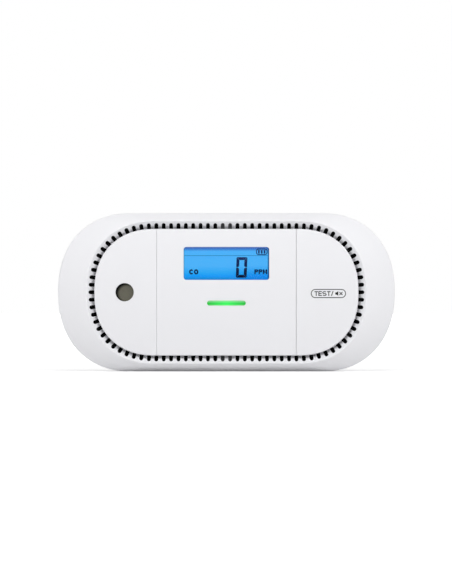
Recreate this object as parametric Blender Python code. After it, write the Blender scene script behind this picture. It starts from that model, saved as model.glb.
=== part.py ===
"""Carbon monoxide alarm with a digital display, built as the separate parts it is assembled from.

Metres, +Z up. The alarm stands on its long edge with its front towards -Y, and the origin lies under
the middle of the case. Parts are placed by x to the right, depth back from the face of the panels, and
z up from the middle of the case.
"""

import math

import bmesh
import bpy
from mathutils import Vector

MM = 0.001

# Fits
FIT = 0.3 * MM  # gap between parts that seat on each other
RUNNING_FIT = 0.25 * MM  # radial gap of a pivot pin in its bearing
BURY = 0.8 * MM  # how far a post or lug is sunk into the wall it grows from
CAP_STEPS = 8  # steps in each quarter of a rounded end
ROUND_STEPS = 16  # steps round a turned part
SMOOTH_ANGLE = math.radians(30)  # sharper edges stay crisp when shaded

# Case outline, seen from the front
CASE_LENGTH = 160.0 * MM
CASE_HEIGHT = 75.2 * MM
CASE_CAP = 34.8 * MM  # length of each rounded end
CASE_CAP_POWER = 2.23  # superellipse power of the ends: 2 is an ellipse, more is blunter
WALL = 2.2 * MM
RIM_END = 13.7 * MM  # width of the domed rim at the two ends
RIM_SIDE = 3.9 * MM  # width of the domed rim along top and bottom
RIM_FALL = 8.0 * MM  # how far the dome falls back from its crest
RIM_POWER = 1.4  # 1 is a flat chamfer, 2 is a quarter ellipse
RIM_STEPS = 6
RIM_CREST = 0.5 * MM  # depth of the crest behind the panels
LIP_HEIGHT = 2.1 * MM  # tongue of the rear cover inside the front cover
LIP_WALL = 1.1 * MM  # wall left outside that tongue
REAR_COVER_DEPTH = 9.8 * MM
REAR_ROUND = 3.0 * MM  # rounding of the rear edge
REAR_STEPS = 4

# Slotted channel round the panels
MOAT_WIDTH = 3.7 * MM
MOAT_FOOT = 0.6 * MM  # how far the channel runs in under the panels
MOAT_SKIN = 2.2 * MM  # thickness of the channel wall under the crest
SLOT_PITCH = 3.45 * MM
SLOT_WIDTH = 1.8 * MM
SLOT_MARGIN = 0.9 * MM  # solid band between the slots and the crest
SLOT_TUCK = 0.2 * MM  # how far a slot runs in under the panels
SLOT_TIP_STEPS = 4
SCREEN_THICK = 0.4 * MM
SCREEN_MARGIN = 0.4 * MM
SCREEN_INNER = 0.2 * MM
CLIP_THICK = 2.0 * MM
CLIP_LENGTH = 7.0 * MM

# Panels
PANEL_CAP = 29.2 * MM
PANEL_CAP_POWER = 2.3
PANEL_THICK = 2.0 * MM
PANEL_EDGE = 0.5 * MM  # rounding of the outer edges
SEAM_EDGE = 0.12 * MM  # rounding of the edges at a seam
EDGE_SOFT = 0.3  # share of a rounding taken by its first step
SEAM_GAP = 0.35 * MM
END_PANEL_LENGTH = 29.5 * MM
RIB_INSET = 1.6 * MM
RIB_THICK = 1.2 * MM
BUTTON_RIB = 0.7 * MM
PANEL_SEAT = 2.0 * MM  # height of the ribs and their gap, panel back to floor
FLOOR_THICK = 1.8 * MM
PEG_RADIUS = 1.4 * MM
PEG_REACH = 1.7 * MM  # length of a peg behind the floor
PEG_INSET = 4.1 * MM
PEG_SPREAD = 36.0 * MM
HORN_PEG_FROM_SEAM = 6.9 * MM
HORN_PEG_SPREAD = 42.0 * MM

# Display
WINDOW_FROM_SEAM = 12.95 * MM
WINDOW_HEIGHT = 15.3 * MM
WINDOW_ROUND = 1.2 * MM
WINDOW_FROM_TOP = 8.65 * MM
LENS_MARGIN = 1.0 * MM
LENS_THICK = 1.2 * MM
LENS_REBATE = 1.0 * MM
GLASS_MARGIN = 1.9 * MM
GLASS_FOOT = 4.0 * MM  # contact edge of the glass below the window
GLASS_THICK = 2.8 * MM
BACKLIGHT_THICK = 3.0 * MM
BACKLIGHT_RISE = 3.0 * MM  # how much shorter the backlight is than the glass
FRAME_WALL = 1.4 * MM
FRAME_SHELF = 2.5 * MM
FRAME_LEDGE = 1.0 * MM
STRIP_INSET = 3.05 * MM  # how much shorter the contact strip is than the glass, at each end
STRIP_THICK = 1.6 * MM

# Lamp bar
BAR_LENGTH = 18.8 * MM
BAR_HEIGHT = 2.4 * MM
BAR_BELOW_WINDOW = 18.7 * MM
BAR_PROUD = 0.1 * MM  # depth of the bar's face behind the panel
BAR_SLACK = 0.15 * MM
BAR_FLANGE = 1.0 * MM
LAMP_LENGTH = 3.0 * MM
LAMP_WIDTH = 1.4 * MM
LAMP_HEIGHT = 0.8 * MM
LAMP_PITCH = 6.0 * MM

# Sounder
HORN_FROM_SEAM = 15.1 * MM
HORN_HOLE_RADIUS = 4.2 * MM
GAUZE_MARGIN = 1.8 * MM
GAUZE_THICK = 0.5 * MM
GAUZE_REBATE = 0.6 * MM
COLLAR_THICK = 1.6 * MM
HORN_RADIUS = 14.0 * MM
HORN_WALL = 1.2 * MM
HORN_LIP = 1.9 * MM
HORN_CHAMBER = 2.0 * MM
PLATE_THICK = 0.4 * MM
CERAMIC_THICK = 0.4 * MM
CERAMIC_RADIUS = 8.5 * MM
RING_HEIGHT = 2.4 * MM
RING_WIDTH = 2.2 * MM
HORN_CAP_THICK = 1.2 * MM
HORN_TURN_STEPS = 28
WIRE_RADIUS = 0.6 * MM
WIRE_SPREAD = 5.0 * MM
WIRE_RUN = 5.0 * MM
WIRE_RISE = 1.2 * MM
WIRE_CLEAR = 2.0 * MM  # space between the lower lead's landing and the coil below it
WIRE_STEPS = 8

# Test button
TEST_FROM_SEAM = 15.2 * MM
TEST_DROP = 0.6 * MM
HINGE_FROM_SEAM = 2.6 * MM
HINGE_BEHIND_FLOOR = 1.7 * MM
PIN_RADIUS = 0.9 * MM
PIN_REACH = 2.4 * MM
LUG_SPREAD = 35.0 * MM  # between the middles of the two hinge lugs
LUG_WIDTH = 3.0 * MM
LUG_HALF_THICK = 1.5 * MM
LUG_TAIL = 1.2 * MM
EAR_HALF_WIDTH = 2.4 * MM
EAR_TAIL = 2.0 * MM
EAR_MOUTH = 0.7 * MM
EAR_STEPS = 8
WINDOW_SLACK = 0.5 * MM  # clear space round a lug in its floor window
HOOK_FROM_EDGE = 4.4 * MM
HOOK_WIDTH = 6.0 * MM
HOOK_THICK = 1.5 * MM
HOOK_BARB = 1.2 * MM
HOOK_NOSE = 1.3 * MM
BOSS_RADIUS = 2.5 * MM
BOSS_CLEARANCE = 1.5 * MM
SWITCH_SIDE = 6.0 * MM
SWITCH_HEIGHT = 3.5 * MM
PLUNGER_RADIUS = 1.6 * MM
PLUNGER_SHOW = 1.6 * MM
PLUNGER_TRAVEL = 0.8 * MM
PLUNGER_BURIED = 1.2 * MM

# Board and what stands on it
BOARD_THICK = 1.6 * MM
BOARD_ROUND = 2.0 * MM
BOARD_INSET = 3.0 * MM
BOARD_FROM_HORN = 3.2 * MM
BOARD_FROM_END = 4.1 * MM
BOARD_POST_INSET = 4.0 * MM
BOARD_POST_INDENT = 12.0 * MM  # right-hand posts from the board's right edge, clear of the channel
BOARD_POST_RADIUS = 2.3 * MM
BOARD_SCREW_RADIUS = 1.1 * MM
BOARD_SCREW_LENGTH = 6.0 * MM
BOARD_HEAD_RADIUS = 2.2 * MM
BOARD_HEAD_HEIGHT = 1.6 * MM
SENSOR_RADIUS = 10.0 * MM
SENSOR_HEIGHT = 13.0 * MM
SENSOR_FROM_TEST = 2.3 * MM
SENSOR_DROP = 4.0 * MM
SENSOR_WELL = 1.0 * MM
FILTER_RADIUS = 6.5 * MM
FILTER_THICK = 1.4 * MM
FILTER_PORT = 1.5 * MM
CHIP_SIDE = 10.0 * MM
CHIP_HEIGHT = 1.4 * MM
CHIP_X = 13.0 * MM
COIL_SIDE = 9.0 * MM
COIL_HEIGHT = 7.0 * MM
COIL_X = -14.0 * MM
PARTS_CLEAR = 1.1 * MM  # space between the battery bay and the parts above it
CAN_RADIUS = 4.0 * MM
CAN_HEIGHT = 9.0 * MM

# Battery bay
CELL_RADIUS = 8.5 * MM
CELL_LENGTH = 34.5 * MM
CELL_NUB_RADIUS = 3.2 * MM
CELL_NUB = 1.5 * MM
CELL_EDGE = 0.8 * MM
BAY_GAP = 1.4 * MM
BAY_FLOOR = 1.2 * MM
BAY_WALL = 1.6 * MM
BAY_DROP = 10.0 * MM
CONTACT_THICK = 0.5 * MM
CONTACT_WIDTH = 10.0 * MM
CONTACT_TAIL = 3.0 * MM
CONTACT_END = 2.5 * MM
SPRING_LENGTH = 4.0 * MM
SPRING_WIRE = 0.4 * MM
SPRING_BASE = 4.6 * MM
SPRING_TIP = 3.4 * MM
SPRING_TURNS = 3.5
SPRING_STEPS = 12
DOOR_THICK = 2.0 * MM
DOOR_LEDGE = 1.0 * MM
DOOR_PIN_RADIUS = 0.45 * MM
DOOR_PIN_REACH = 1.2 * MM
DOOR_ROUND_STEPS = 8
NOTCH_RADIUS = 7.0 * MM
NOTCH_DEPTH = 1.2 * MM
NOTCH_OUT = 5.2 * MM

# Wall fixing and case screws
KEYHOLE_FROM_SCREW = 16.0 * MM
KEYHOLE_RISE = 13.0 * MM
KEYHOLE_HEAD = 4.2 * MM
KEYHOLE_NECK = 1.8 * MM
KEYHOLE_RUN = 8.0 * MM
KEYHOLE_POCKET = 4.2 * MM  # depth of the closed pocket behind a keyhole, for the screw's head
KEYHOLE_POCKET_SLACK = 0.8 * MM
KEYHOLE_POCKET_WALL = 1.4 * MM
CASE_SCREW_FROM_END = 14.0 * MM
CASE_SCREW_FROM_TOP = 18.6 * MM
CASE_POST_RADIUS = 2.9 * MM
CASE_POST_ROOT = 0.7 * MM  # depth of a post's root behind the crest's back, inside the sloping dome
REAR_BOSS_RADIUS = 4.4 * MM
CASE_SCREW_RADIUS = 1.4 * MM
CASE_SCREW_LENGTH = 18.0 * MM
CASE_HEAD_RADIUS = 2.8 * MM
CASE_HEAD_HEIGHT = 2.2 * MM
CASE_HEAD_SUNK = 0.4 * MM
THREAD_HOLD = 8.0 * MM  # length of screw inside the front cover's post
SCREW_TIP = 1.2 * MM
SCREW_POINT = 0.4  # radius of the point as a share of the shank
HEAD_CROWN = 0.75  # radius of the head's flat top as a share of the head
TIP_GAP = 1.0 * MM  # space below a screw's tip in its post

# Depths worked out from the sizes above
FLOOR_FRONT = PANEL_THICK + PANEL_SEAT
FLOOR_BACK = FLOOR_FRONT + FLOOR_THICK
LENS_FRONT = PANEL_THICK - LENS_REBATE + FIT
GLASS_FRONT = LENS_FRONT + LENS_THICK + FIT
BACKLIGHT_FRONT = GLASS_FRONT + GLASS_THICK + FIT
SHELF_FRONT = max(BACKLIGHT_FRONT + BACKLIGHT_THICK, FLOOR_BACK + FIT) + FIT
BOARD_FRONT = SHELF_FRONT + FRAME_SHELF + FIT
BOARD_BACK = BOARD_FRONT + BOARD_THICK
PART_BACK = BOARD_BACK + FIT
BAY_FRONT = BOARD_BACK + BAY_GAP
POCKET_FRONT = BAY_FRONT + BAY_FLOOR
CELL_DEPTH = POCKET_FRONT + FIT + CELL_RADIUS
DOOR_FRONT = CELL_DEPTH + CELL_RADIUS + FIT
CASE_DEPTH = DOOR_FRONT + DOOR_THICK
REAR_INNER = CASE_DEPTH - WALL
PARTING = CASE_DEPTH - REAR_COVER_DEPTH
HINGE_DEPTH = FLOOR_BACK + HINGE_BEHIND_FLOOR
SWITCH_FRONT = BOARD_FRONT - FIT - SWITCH_HEIGHT
PLUNGER_FRONT = SWITCH_FRONT - PLUNGER_SHOW
DOOR_AXIS_DEPTH = CASE_DEPTH - DOOR_THICK / 2

# Places worked out from the sizes above
PANEL_HALF_LENGTH = CASE_LENGTH / 2 - RIM_END - MOAT_WIDTH
PANEL_HALF_HEIGHT = CASE_HEIGHT / 2 - RIM_SIDE - MOAT_WIDTH
SEAM = PANEL_HALF_LENGTH - END_PANEL_LENGTH
WINDOW_HALF_LENGTH = SEAM - WINDOW_FROM_SEAM
WINDOW_Z = PANEL_HALF_HEIGHT - WINDOW_FROM_TOP - WINDOW_HEIGHT / 2
BAR_Z = WINDOW_Z - BAR_BELOW_WINDOW
HORN_X = -(SEAM + HORN_FROM_SEAM)
TEST_X = SEAM + TEST_FROM_SEAM
TEST_Z = -TEST_DROP
HINGE_X = SEAM + HINGE_FROM_SEAM
HOOK_X = PANEL_HALF_LENGTH - HOOK_FROM_EDGE
GLASS_HALF_LENGTH = WINDOW_HALF_LENGTH + GLASS_MARGIN
STRIP_HALF_LENGTH = GLASS_HALF_LENGTH - STRIP_INSET
GLASS_TOP = WINDOW_Z + WINDOW_HEIGHT / 2 + GLASS_MARGIN - FIT
GLASS_BOTTOM = WINDOW_Z - WINDOW_HEIGHT / 2 - GLASS_FOOT
BACKLIGHT_BOTTOM = GLASS_BOTTOM + BACKLIGHT_RISE
STRIP_Z = GLASS_BOTTOM + BACKLIGHT_RISE / 2 - FIT / 2
BOARD_LEFT = HORN_X + HORN_RADIUS + BOARD_FROM_HORN
BOARD_RIGHT = PANEL_HALF_LENGTH - BOARD_FROM_END
BOARD_HALF_HEIGHT = PANEL_HALF_HEIGHT - BOARD_INSET
BOARD_POST_Z = BOARD_HALF_HEIGHT - BOARD_POST_INSET
BOARD_POSTS = (
    (BOARD_LEFT + BOARD_POST_INSET, -BOARD_POST_Z),
    (BOARD_RIGHT - BOARD_POST_INDENT, -BOARD_POST_Z),
    (BOARD_RIGHT - BOARD_POST_INDENT, BOARD_POST_Z),
)
SENSOR_X = TEST_X - SENSOR_FROM_TEST
SENSOR_Z = TEST_Z - SENSOR_DROP
CASE_SCREW_X = CASE_LENGTH / 2 - CASE_SCREW_FROM_END
CASE_SCREW_Z = CASE_HEIGHT / 2 - CASE_SCREW_FROM_TOP
KEYHOLE_X = CASE_SCREW_X - KEYHOLE_FROM_SCREW
CASE_POSTS = tuple((sx * CASE_SCREW_X, sz * CASE_SCREW_Z) for sz in (1, -1) for sx in (-1, 1))
SCREW_SEAT = CASE_DEPTH - CASE_HEAD_SUNK - CASE_HEAD_HEIGHT
POST_END = SCREW_SEAT - CASE_SCREW_LENGTH + THREAD_HOLD + FIT
BAY_Z = -BAY_DROP
POCKET_HALF_LENGTH = (CELL_LENGTH + SPRING_LENGTH + 2 * CONTACT_THICK + 5 * FIT) / 2
POCKET_HALF_HEIGHT = CELL_RADIUS + FIT
PARTS_Z = BAY_Z + POCKET_HALF_HEIGHT + BAY_WALL + PARTS_CLEAR + CHIP_SIDE / 2
RECESS_HALF_LENGTH = POCKET_HALF_LENGTH + DOOR_LEDGE
RECESS_HALF_HEIGHT = POCKET_HALF_HEIGHT + DOOR_LEDGE
DOOR_HALF_LENGTH = RECESS_HALF_LENGTH - FIT
DOOR_HALF_HEIGHT = RECESS_HALF_HEIGHT - FIT
DOOR_AXIS_Z = BAY_Z + DOOR_HALF_HEIGHT - DOOR_THICK / 2
CELL_RIGHT = POCKET_HALF_LENGTH - 2 * FIT - CONTACT_THICK
CELL_LEFT = CELL_RIGHT - CELL_LENGTH
SPRING_RIGHT = CELL_LEFT - FIT
SPRING_LEFT = SPRING_RIGHT - SPRING_LENGTH


def place(x, depth, z):
    """The point at x, that depth behind the panels and z above the middle of the case."""
    return Vector((x, depth - CASE_DEPTH / 2, z + CASE_HEIGHT / 2))


# Outlines seen from the front, as lists of (x, z)


def quarter_cap(half_length, half_height, cap, power, offset):
    """From the tip of a rounded end to its straight top: a superellipse arc moved out by offset."""
    points = []
    for step in range(CAP_STEPS + 1):
        turn = math.pi / 2 * step / CAP_STEPS
        across = max(math.cos(turn), 0.0)
        up = math.sin(turn)
        normal = Vector((across ** (2 - 2 / power) / cap, up ** (2 - 2 / power) / half_height)).normalized()
        x = half_length - cap + cap * across ** (2 / power)
        z = half_height * up ** (2 / power)
        points.append((x + offset * normal.x, z + offset * normal.y))
    return points


def pill(half_length, half_height, cap, power, offset=0.0):
    """A closed outline with straight top and bottom and superellipse ends, moved out by offset."""
    right_top = quarter_cap(half_length, half_height, cap, power, offset)
    left_top = [(-x, z) for x, z in reversed(right_top)]
    left_bottom = [(-x, -z) for x, z in right_top[1:]]
    right_bottom = [(x, -z) for x, z in reversed(right_top[1:])]
    return right_top + left_top + left_bottom + right_bottom


def case_outline(offset=0.0):
    return pill(CASE_LENGTH / 2, CASE_HEIGHT / 2, CASE_CAP, CASE_CAP_POWER, offset)


def panel_outline(offset=0.0):
    return pill(PANEL_HALF_LENGTH, PANEL_HALF_HEIGHT, PANEL_CAP, PANEL_CAP_POWER, offset)


def bar_outline(offset=0.0):
    half_height = BAR_HEIGHT / 2 + offset
    points = pill(BAR_LENGTH / 2 + offset, half_height, half_height, 2.0)
    return [(x, z + BAR_Z) for x, z in points]


def middle_panel_outline(inset, seam_inset):
    half_length = SEAM - SEAM_GAP / 2 - seam_inset
    half_height = PANEL_HALF_HEIGHT - inset
    return box_outline(-half_length, half_length, -half_height, half_height)


def right_panel_outline(inset, seam_inset):
    """The end panel: square at the seam and rounded like the panel outline at the tip."""
    quarter = quarter_cap(PANEL_HALF_LENGTH, PANEL_HALF_HEIGHT, PANEL_CAP, PANEL_CAP_POWER, -inset)
    corner = (SEAM + SEAM_GAP / 2 + seam_inset, PANEL_HALF_HEIGHT - inset)
    upper = quarter[:-1] + [corner]
    lower = [(x, -z) for x, z in reversed(upper[1:])]
    return upper + lower


def left_panel_outline(inset, seam_inset):
    return [(-x, z) for x, z in right_panel_outline(inset, seam_inset)]


def rounded_box(left, right, bottom, top, radius, steps=3):
    """A rectangle with rounded corners."""
    points = []
    corners = ((right, top), (left, top), (left, bottom), (right, bottom))
    for number, (x, z) in enumerate(corners):
        centre_x = x - math.copysign(radius, x - (left + right) / 2)
        centre_z = z - math.copysign(radius, z - (bottom + top) / 2)
        for step in range(steps + 1):
            turn = math.pi / 2 * (number + step / steps)
            points.append((centre_x + radius * math.cos(turn), centre_z + radius * math.sin(turn)))
    return points


def window_outline(margin):
    return rounded_box(
        -WINDOW_HALF_LENGTH - margin,
        WINDOW_HALF_LENGTH + margin,
        WINDOW_Z - WINDOW_HEIGHT / 2 - margin,
        WINDOW_Z + WINDOW_HEIGHT / 2 + margin,
        WINDOW_ROUND + margin,
    )


def box_outline(left, right, bottom, top):
    return [(left, bottom), (right, bottom), (right, top), (left, top)]


def round_outline(x, z, radius, steps=ROUND_STEPS):
    turns = [2 * math.pi * step / steps for step in range(steps)]
    return [(x + radius * math.cos(turn), z + radius * math.sin(turn)) for turn in turns]


def keyhole_outline(x, z):
    """A round hole for a screw head with a narrower slot running up from it."""
    meet = math.asin(KEYHOLE_NECK / KEYHOLE_HEAD)
    points = []
    for step in range(ROUND_STEPS + 1):
        turn = math.pi / 2 + meet + (2 * math.pi - 2 * meet) * step / ROUND_STEPS
        points.append((x + KEYHOLE_HEAD * math.cos(turn), z + KEYHOLE_HEAD * math.sin(turn)))
    for step in range(ROUND_STEPS // 2 + 1):
        turn = math.pi * step / (ROUND_STEPS // 2)
        points.append((x + KEYHOLE_NECK * math.cos(turn), z + KEYHOLE_RUN + KEYHOLE_NECK * math.sin(turn)))
    return points


# Building blocks


def at_depth(outline, depth):
    return [place(x, depth, z) for x, z in outline]


def loft(mesh, loops, wrapped=False):
    """Skin a row of loops of equal length; the ends are capped unless the row is wrapped into a ring."""
    rows = [[mesh.verts.new(point) for point in loop] for loop in loops]
    pairs = list(zip(rows, rows[1:]))
    if wrapped:
        pairs.append((rows[-1], rows[0]))
    count = len(rows[0])
    for row, following in pairs:
        for here in range(count):
            there = (here + 1) % count
            mesh.faces.new((row[here], row[there], following[there], following[here]))
    if not wrapped:
        mesh.faces.new(rows[0])
        mesh.faces.new(rows[-1])


def prism(mesh, outline, front, back):
    loft(mesh, [at_depth(outline, front), at_depth(outline, back)])


def turned(mesh, x, z, profile, steps=ROUND_STEPS):
    """A part turned about a line along the depth: profile is (depth, radius) from front to back."""
    loft(mesh, [at_depth(round_outline(x, z, radius, steps), depth) for depth, radius in profile])


def ring_turned(mesh, x, z, profile, steps=ROUND_STEPS):
    """A turned part with a hole through it: profile goes once round its section."""
    loops = [at_depth(round_outline(x, z, radius, steps), depth) for depth, radius in profile]
    loft(mesh, loops, wrapped=True)


def upright(mesh, outline, bottom, top):
    """A solid whose (x, depth) outline is carried from bottom to top."""
    loft(mesh, [[place(x, depth, z) for x, depth in outline] for z in (bottom, top)])


def lengthwise(mesh, outline, left, right):
    """A solid whose (depth, z) outline is carried from left to right."""
    loft(mesh, [[place(x, depth, z) for depth, z in outline] for x in (left, right)])


def block(mesh, left, right, front, back, bottom, top):
    prism(mesh, box_outline(left, right, bottom, top), front, back)


def rod_along_x(mesh, depth, z, profile, steps=ROUND_STEPS):
    """A turned part lying along x: profile is (x, radius)."""
    loops = []
    for x, radius in profile:
        loops.append([place(x, depth + a, z + b) for a, b in round_outline(0, 0, radius, steps)])
    loft(mesh, loops)


def rod_along_z(mesh, x, depth, bottom, top, radius, steps=ROUND_STEPS):
    loops = []
    for z in (bottom, top):
        loops.append([place(x + a, depth + b, z) for a, b in round_outline(0, 0, radius, steps)])
    loft(mesh, loops)


def linear(channel):
    """One sRGB channel, 0 to 1, as linear light."""
    if channel <= 0.04045:
        return channel / 12.92
    return ((channel + 0.055) / 1.055) ** 2.4


def material(name, colour, roughness, metallic=0.0):
    """A plain material from an sRGB colour written as six hex digits, made once for each name."""
    if name in bpy.data.materials:
        return bpy.data.materials[name]
    made = bpy.data.materials.new(name)
    made.use_nodes = True
    shader = made.node_tree.nodes["Principled BSDF"]
    channels = [linear(int(colour[start : start + 2], 16) / 255) for start in (0, 2, 4)]
    shader.inputs["Base Color"].default_value = (*channels, 1.0)
    shader.inputs["Roughness"].default_value = roughness
    shader.inputs["Metallic"].default_value = metallic
    return made


def add(name, mesh, finish, origin=(0.0, 0.0, 0.0)):
    """Make one named part of the mesh, with its origin moved to the given point."""
    bmesh.ops.recalc_face_normals(mesh, faces=mesh.faces)
    bmesh.ops.translate(mesh, verts=mesh.verts, vec=-Vector(origin))
    data = bpy.data.meshes.new(name)
    mesh.to_mesh(data)
    mesh.free()
    data.materials.append(finish)
    data.shade_smooth()
    data.set_sharp_from_angle(angle=SMOOTH_ANGLE)
    part = bpy.data.objects.new(name, data)
    part.location = origin
    bpy.context.scene.collection.objects.link(part)
    return part


def helper(name, mesh):
    """A hidden solid that other parts are cut by or joined to."""
    tool = add(name, mesh, material("tool", "808080", 0.5))
    tool.hide_render = True
    tool.display_type = "WIRE"
    return tool


def combine(part, tool, operation):
    step = part.modifiers.new(tool.name, "BOOLEAN")
    step.operation = operation
    step.solver = "EXACT"
    step.object = tool


# Finishes


def white_plastic():
    return material("white moulded plastic", "eceff1", 0.45)


def grey_plastic():
    return material("grey moulded plastic", "45484c", 0.55)


def black_plastic():
    return material("black moulded plastic", "1b1c1e", 0.6)


def steel():
    return material("plated steel", "c3c6ca", 0.3, 1.0)


# Front cover


def dome(share):
    """Fall of the rim, as a share of its whole fall, at a share of its width from the crest."""
    return 1 - (1 - share**RIM_POWER) ** (1 / RIM_POWER)


def between(inner, outer, share):
    return [(a + (c - a) * share, b + (d - b) * share) for (a, b), (c, d) in zip(inner, outer)]


def rim_loops(outer, crest_depth, foot_depth):
    """Loops over the domed rim, from the crest out to the case outline."""
    crest = panel_outline(MOAT_WIDTH)
    loops = []
    for step in range(RIM_STEPS + 1):
        share = math.sin(math.pi / 2 * step / RIM_STEPS)
        depth = crest_depth + (foot_depth - crest_depth) * dome(min(share, 1.0))
        loops.append(at_depth(between(crest, outer, share), depth))
    return loops


def front_cover_shell():
    mesh = bmesh.new()
    foot = panel_outline(-MOAT_FOOT)
    wall_front = RIM_CREST + RIM_FALL
    inner_rim = rim_loops(case_outline(-WALL), RIM_CREST + MOAT_SKIN, wall_front + WALL / 2)
    outer_rim = rim_loops(case_outline(), RIM_CREST, wall_front)
    rebate = PARTING - LIP_HEIGHT - FIT
    edge = [
        at_depth(case_outline(-WALL), rebate),
        at_depth(case_outline(-LIP_WALL), rebate),
        at_depth(case_outline(-LIP_WALL), PARTING),
        at_depth(case_outline(), PARTING),
    ]
    floor_back = [at_depth(foot, FLOOR_BACK)]
    floor_front = [at_depth(foot, FLOOR_FRONT)]
    loft(mesh, floor_back + inner_rim + edge + outer_rim[::-1] + floor_front)
    return mesh


def ear_outline():
    """A snap bearing seen along the hinge: a block with a round seat open towards the back."""
    seat = PIN_RADIUS + RUNNING_FIT
    mouth = math.asin(EAR_MOUTH / seat)
    tail = HINGE_DEPTH + EAR_TAIL
    front = FLOOR_BACK - BURY
    left = HINGE_X - EAR_HALF_WIDTH
    right = HINGE_X + EAR_HALF_WIDTH
    points = [(left, front), (right, front), (right, tail), (HINGE_X + EAR_MOUTH, tail)]
    for step in range(EAR_STEPS + 1):
        turn = mouth + (2 * math.pi - 2 * mouth) * step / EAR_STEPS
        points.append((HINGE_X + seat * math.sin(turn), HINGE_DEPTH + seat * math.cos(turn)))
    return points + [(HINGE_X - EAR_MOUTH, tail), (left, tail)]


def lug_middles():
    return (-LUG_SPREAD / 2, LUG_SPREAD / 2)


def front_cover_posts():
    mesh = bmesh.new()
    for x, z in BOARD_POSTS:
        turned(mesh, x, z, [(FLOOR_BACK - BURY, BOARD_POST_RADIUS), (BOARD_FRONT - FIT, BOARD_POST_RADIUS)])
    root = RIM_CREST + MOAT_SKIN + CASE_POST_ROOT
    for x, z in CASE_POSTS:
        turned(mesh, x, z, [(root, CASE_POST_RADIUS), (POST_END, CASE_POST_RADIUS)])
    for middle in lug_middles():
        near = LUG_WIDTH / 2 + FIT
        far = LUG_WIDTH / 2 + PIN_REACH + FIT
        upright(mesh, ear_outline(), middle + near, middle + far)
        upright(mesh, ear_outline(), middle - far, middle - near)
    return mesh


def floor_windows(mesh):
    front = FLOOR_FRONT - BURY
    back = FLOOR_BACK + BURY
    half = GLASS_HALF_LENGTH + FIT
    block(mesh, -half, half, front, back, GLASS_BOTTOM - FIT, GLASS_TOP + FIT)
    prism(mesh, bar_outline(BAR_SLACK + FIT), front, back)
    prism(mesh, round_outline(HORN_X, 0, HORN_HOLE_RADIUS + FIT), front, back)
    prism(mesh, round_outline(TEST_X, TEST_Z, BOSS_RADIUS + BOSS_CLEARANCE), front, back)
    for x, z in peg_places():
        prism(mesh, round_outline(x, z, PEG_RADIUS + FIT, ROUND_STEPS // 2), front, back)
    for middle in lug_middles():
        reach = LUG_HALF_THICK + WINDOW_SLACK
        width = LUG_WIDTH / 2 + FIT
        block(mesh, HINGE_X - reach, HINGE_X + reach, front, back, middle - width, middle + width)
    reach = HOOK_WIDTH / 2 + FIT
    block(mesh, HOOK_X - HOOK_THICK - WINDOW_SLACK, HOOK_X + WINDOW_SLACK, front, back, -reach, reach)


def screw_holes(mesh):
    for x, z in BOARD_POSTS:
        hole = BOARD_SCREW_RADIUS + RUNNING_FIT
        bottom = BOARD_BACK + FIT - BOARD_SCREW_LENGTH - TIP_GAP
        prism(mesh, round_outline(x, z, hole, ROUND_STEPS // 2), bottom, BOARD_FRONT)
    for x, z in CASE_POSTS:
        hole = CASE_SCREW_RADIUS + RUNNING_FIT
        bottom = SCREW_SEAT - CASE_SCREW_LENGTH - TIP_GAP
        prism(mesh, round_outline(x, z, hole), bottom, POST_END + BURY)


def slot_outline(x, z, out):
    """One slot: square at the panel edge and round at its outer end, pointing along out."""
    side = Vector((-out.y, out.x)) * SLOT_WIDTH / 2
    edge = Vector((x, z))
    tip = edge + out * (MOAT_WIDTH - SLOT_MARGIN - SLOT_WIDTH / 2)
    points = [edge - out * SLOT_TUCK - side, edge - out * SLOT_TUCK + side]
    for step in range(SLOT_TIP_STEPS + 1):
        turn = math.pi * step / SLOT_TIP_STEPS
        points.append(tip + side * math.cos(turn) + out * SLOT_WIDTH / 2 * math.sin(turn))
    return [tuple(point) for point in points]


def slot_places():
    """Even steps round the panel outline, the first half a step from the middle of the top."""
    outline = [Vector(point) for point in panel_outline()]
    start = next(i for i in range(len(outline)) if outline[i].x > 0 > outline[(i + 1) % len(outline)].x)
    path = [Vector((0, PANEL_HALF_HEIGHT))] + outline[start + 1 :] + outline[: start + 1]
    path.append(path[0])
    lengths = [(b - a).length for a, b in zip(path, path[1:])]
    count = 2 * round(sum(lengths) / SLOT_PITCH / 2)
    pitch = sum(lengths) / count
    places = []
    begun = 0.0
    target = pitch / 2
    for (a, b), length in zip(zip(path, path[1:]), lengths):
        along = (b - a) / length
        while len(places) < count and target <= begun + length:
            point = a + along * (target - begun)
            places.append((point.x, point.y, Vector((along.y, -along.x))))
            target += pitch
        begun += length
    return places


def slot_cutter():
    mesh = bmesh.new()
    for x, z, out in slot_places():
        prism(mesh, slot_outline(x, z, out), -BURY, FLOOR_BACK + MOAT_SKIN)
    return mesh


def window_cutter():
    mesh = bmesh.new()
    floor_windows(mesh)
    screw_holes(mesh)
    return mesh


def build_front_cover():
    cover = add("front_cover", front_cover_shell(), white_plastic())
    combine(cover, helper("cover_posts", front_cover_posts()), "UNION")
    combine(cover, helper("cover_windows", window_cutter()), "DIFFERENCE")
    combine(cover, helper("cover_slots", slot_cutter()), "DIFFERENCE")


# Screens behind the slots


def moat_back(offset):
    """Depth of the channel wall's back at an offset from the panel outline."""
    share = (offset + MOAT_FOOT) / (MOAT_WIDTH + MOAT_FOOT)
    return FLOOR_BACK + (RIM_CREST + MOAT_SKIN - FLOOR_BACK) * share


def moat_band(mesh, path, thick):
    """A strip behind the channel: path pairs each point with its way out."""
    sides = (SCREEN_INNER, MOAT_WIDTH - SCREEN_MARGIN)
    loops = []
    for point, out in path:
        section = []
        for offset, back in ((sides[0], 0), (sides[1], 0), (sides[1], thick), (sides[0], thick)):
            there = point + out * offset
            section.append(place(there.x, moat_back(offset) + FIT + back, there.y))
        loops.append(section)
    loft(mesh, loops)


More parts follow.
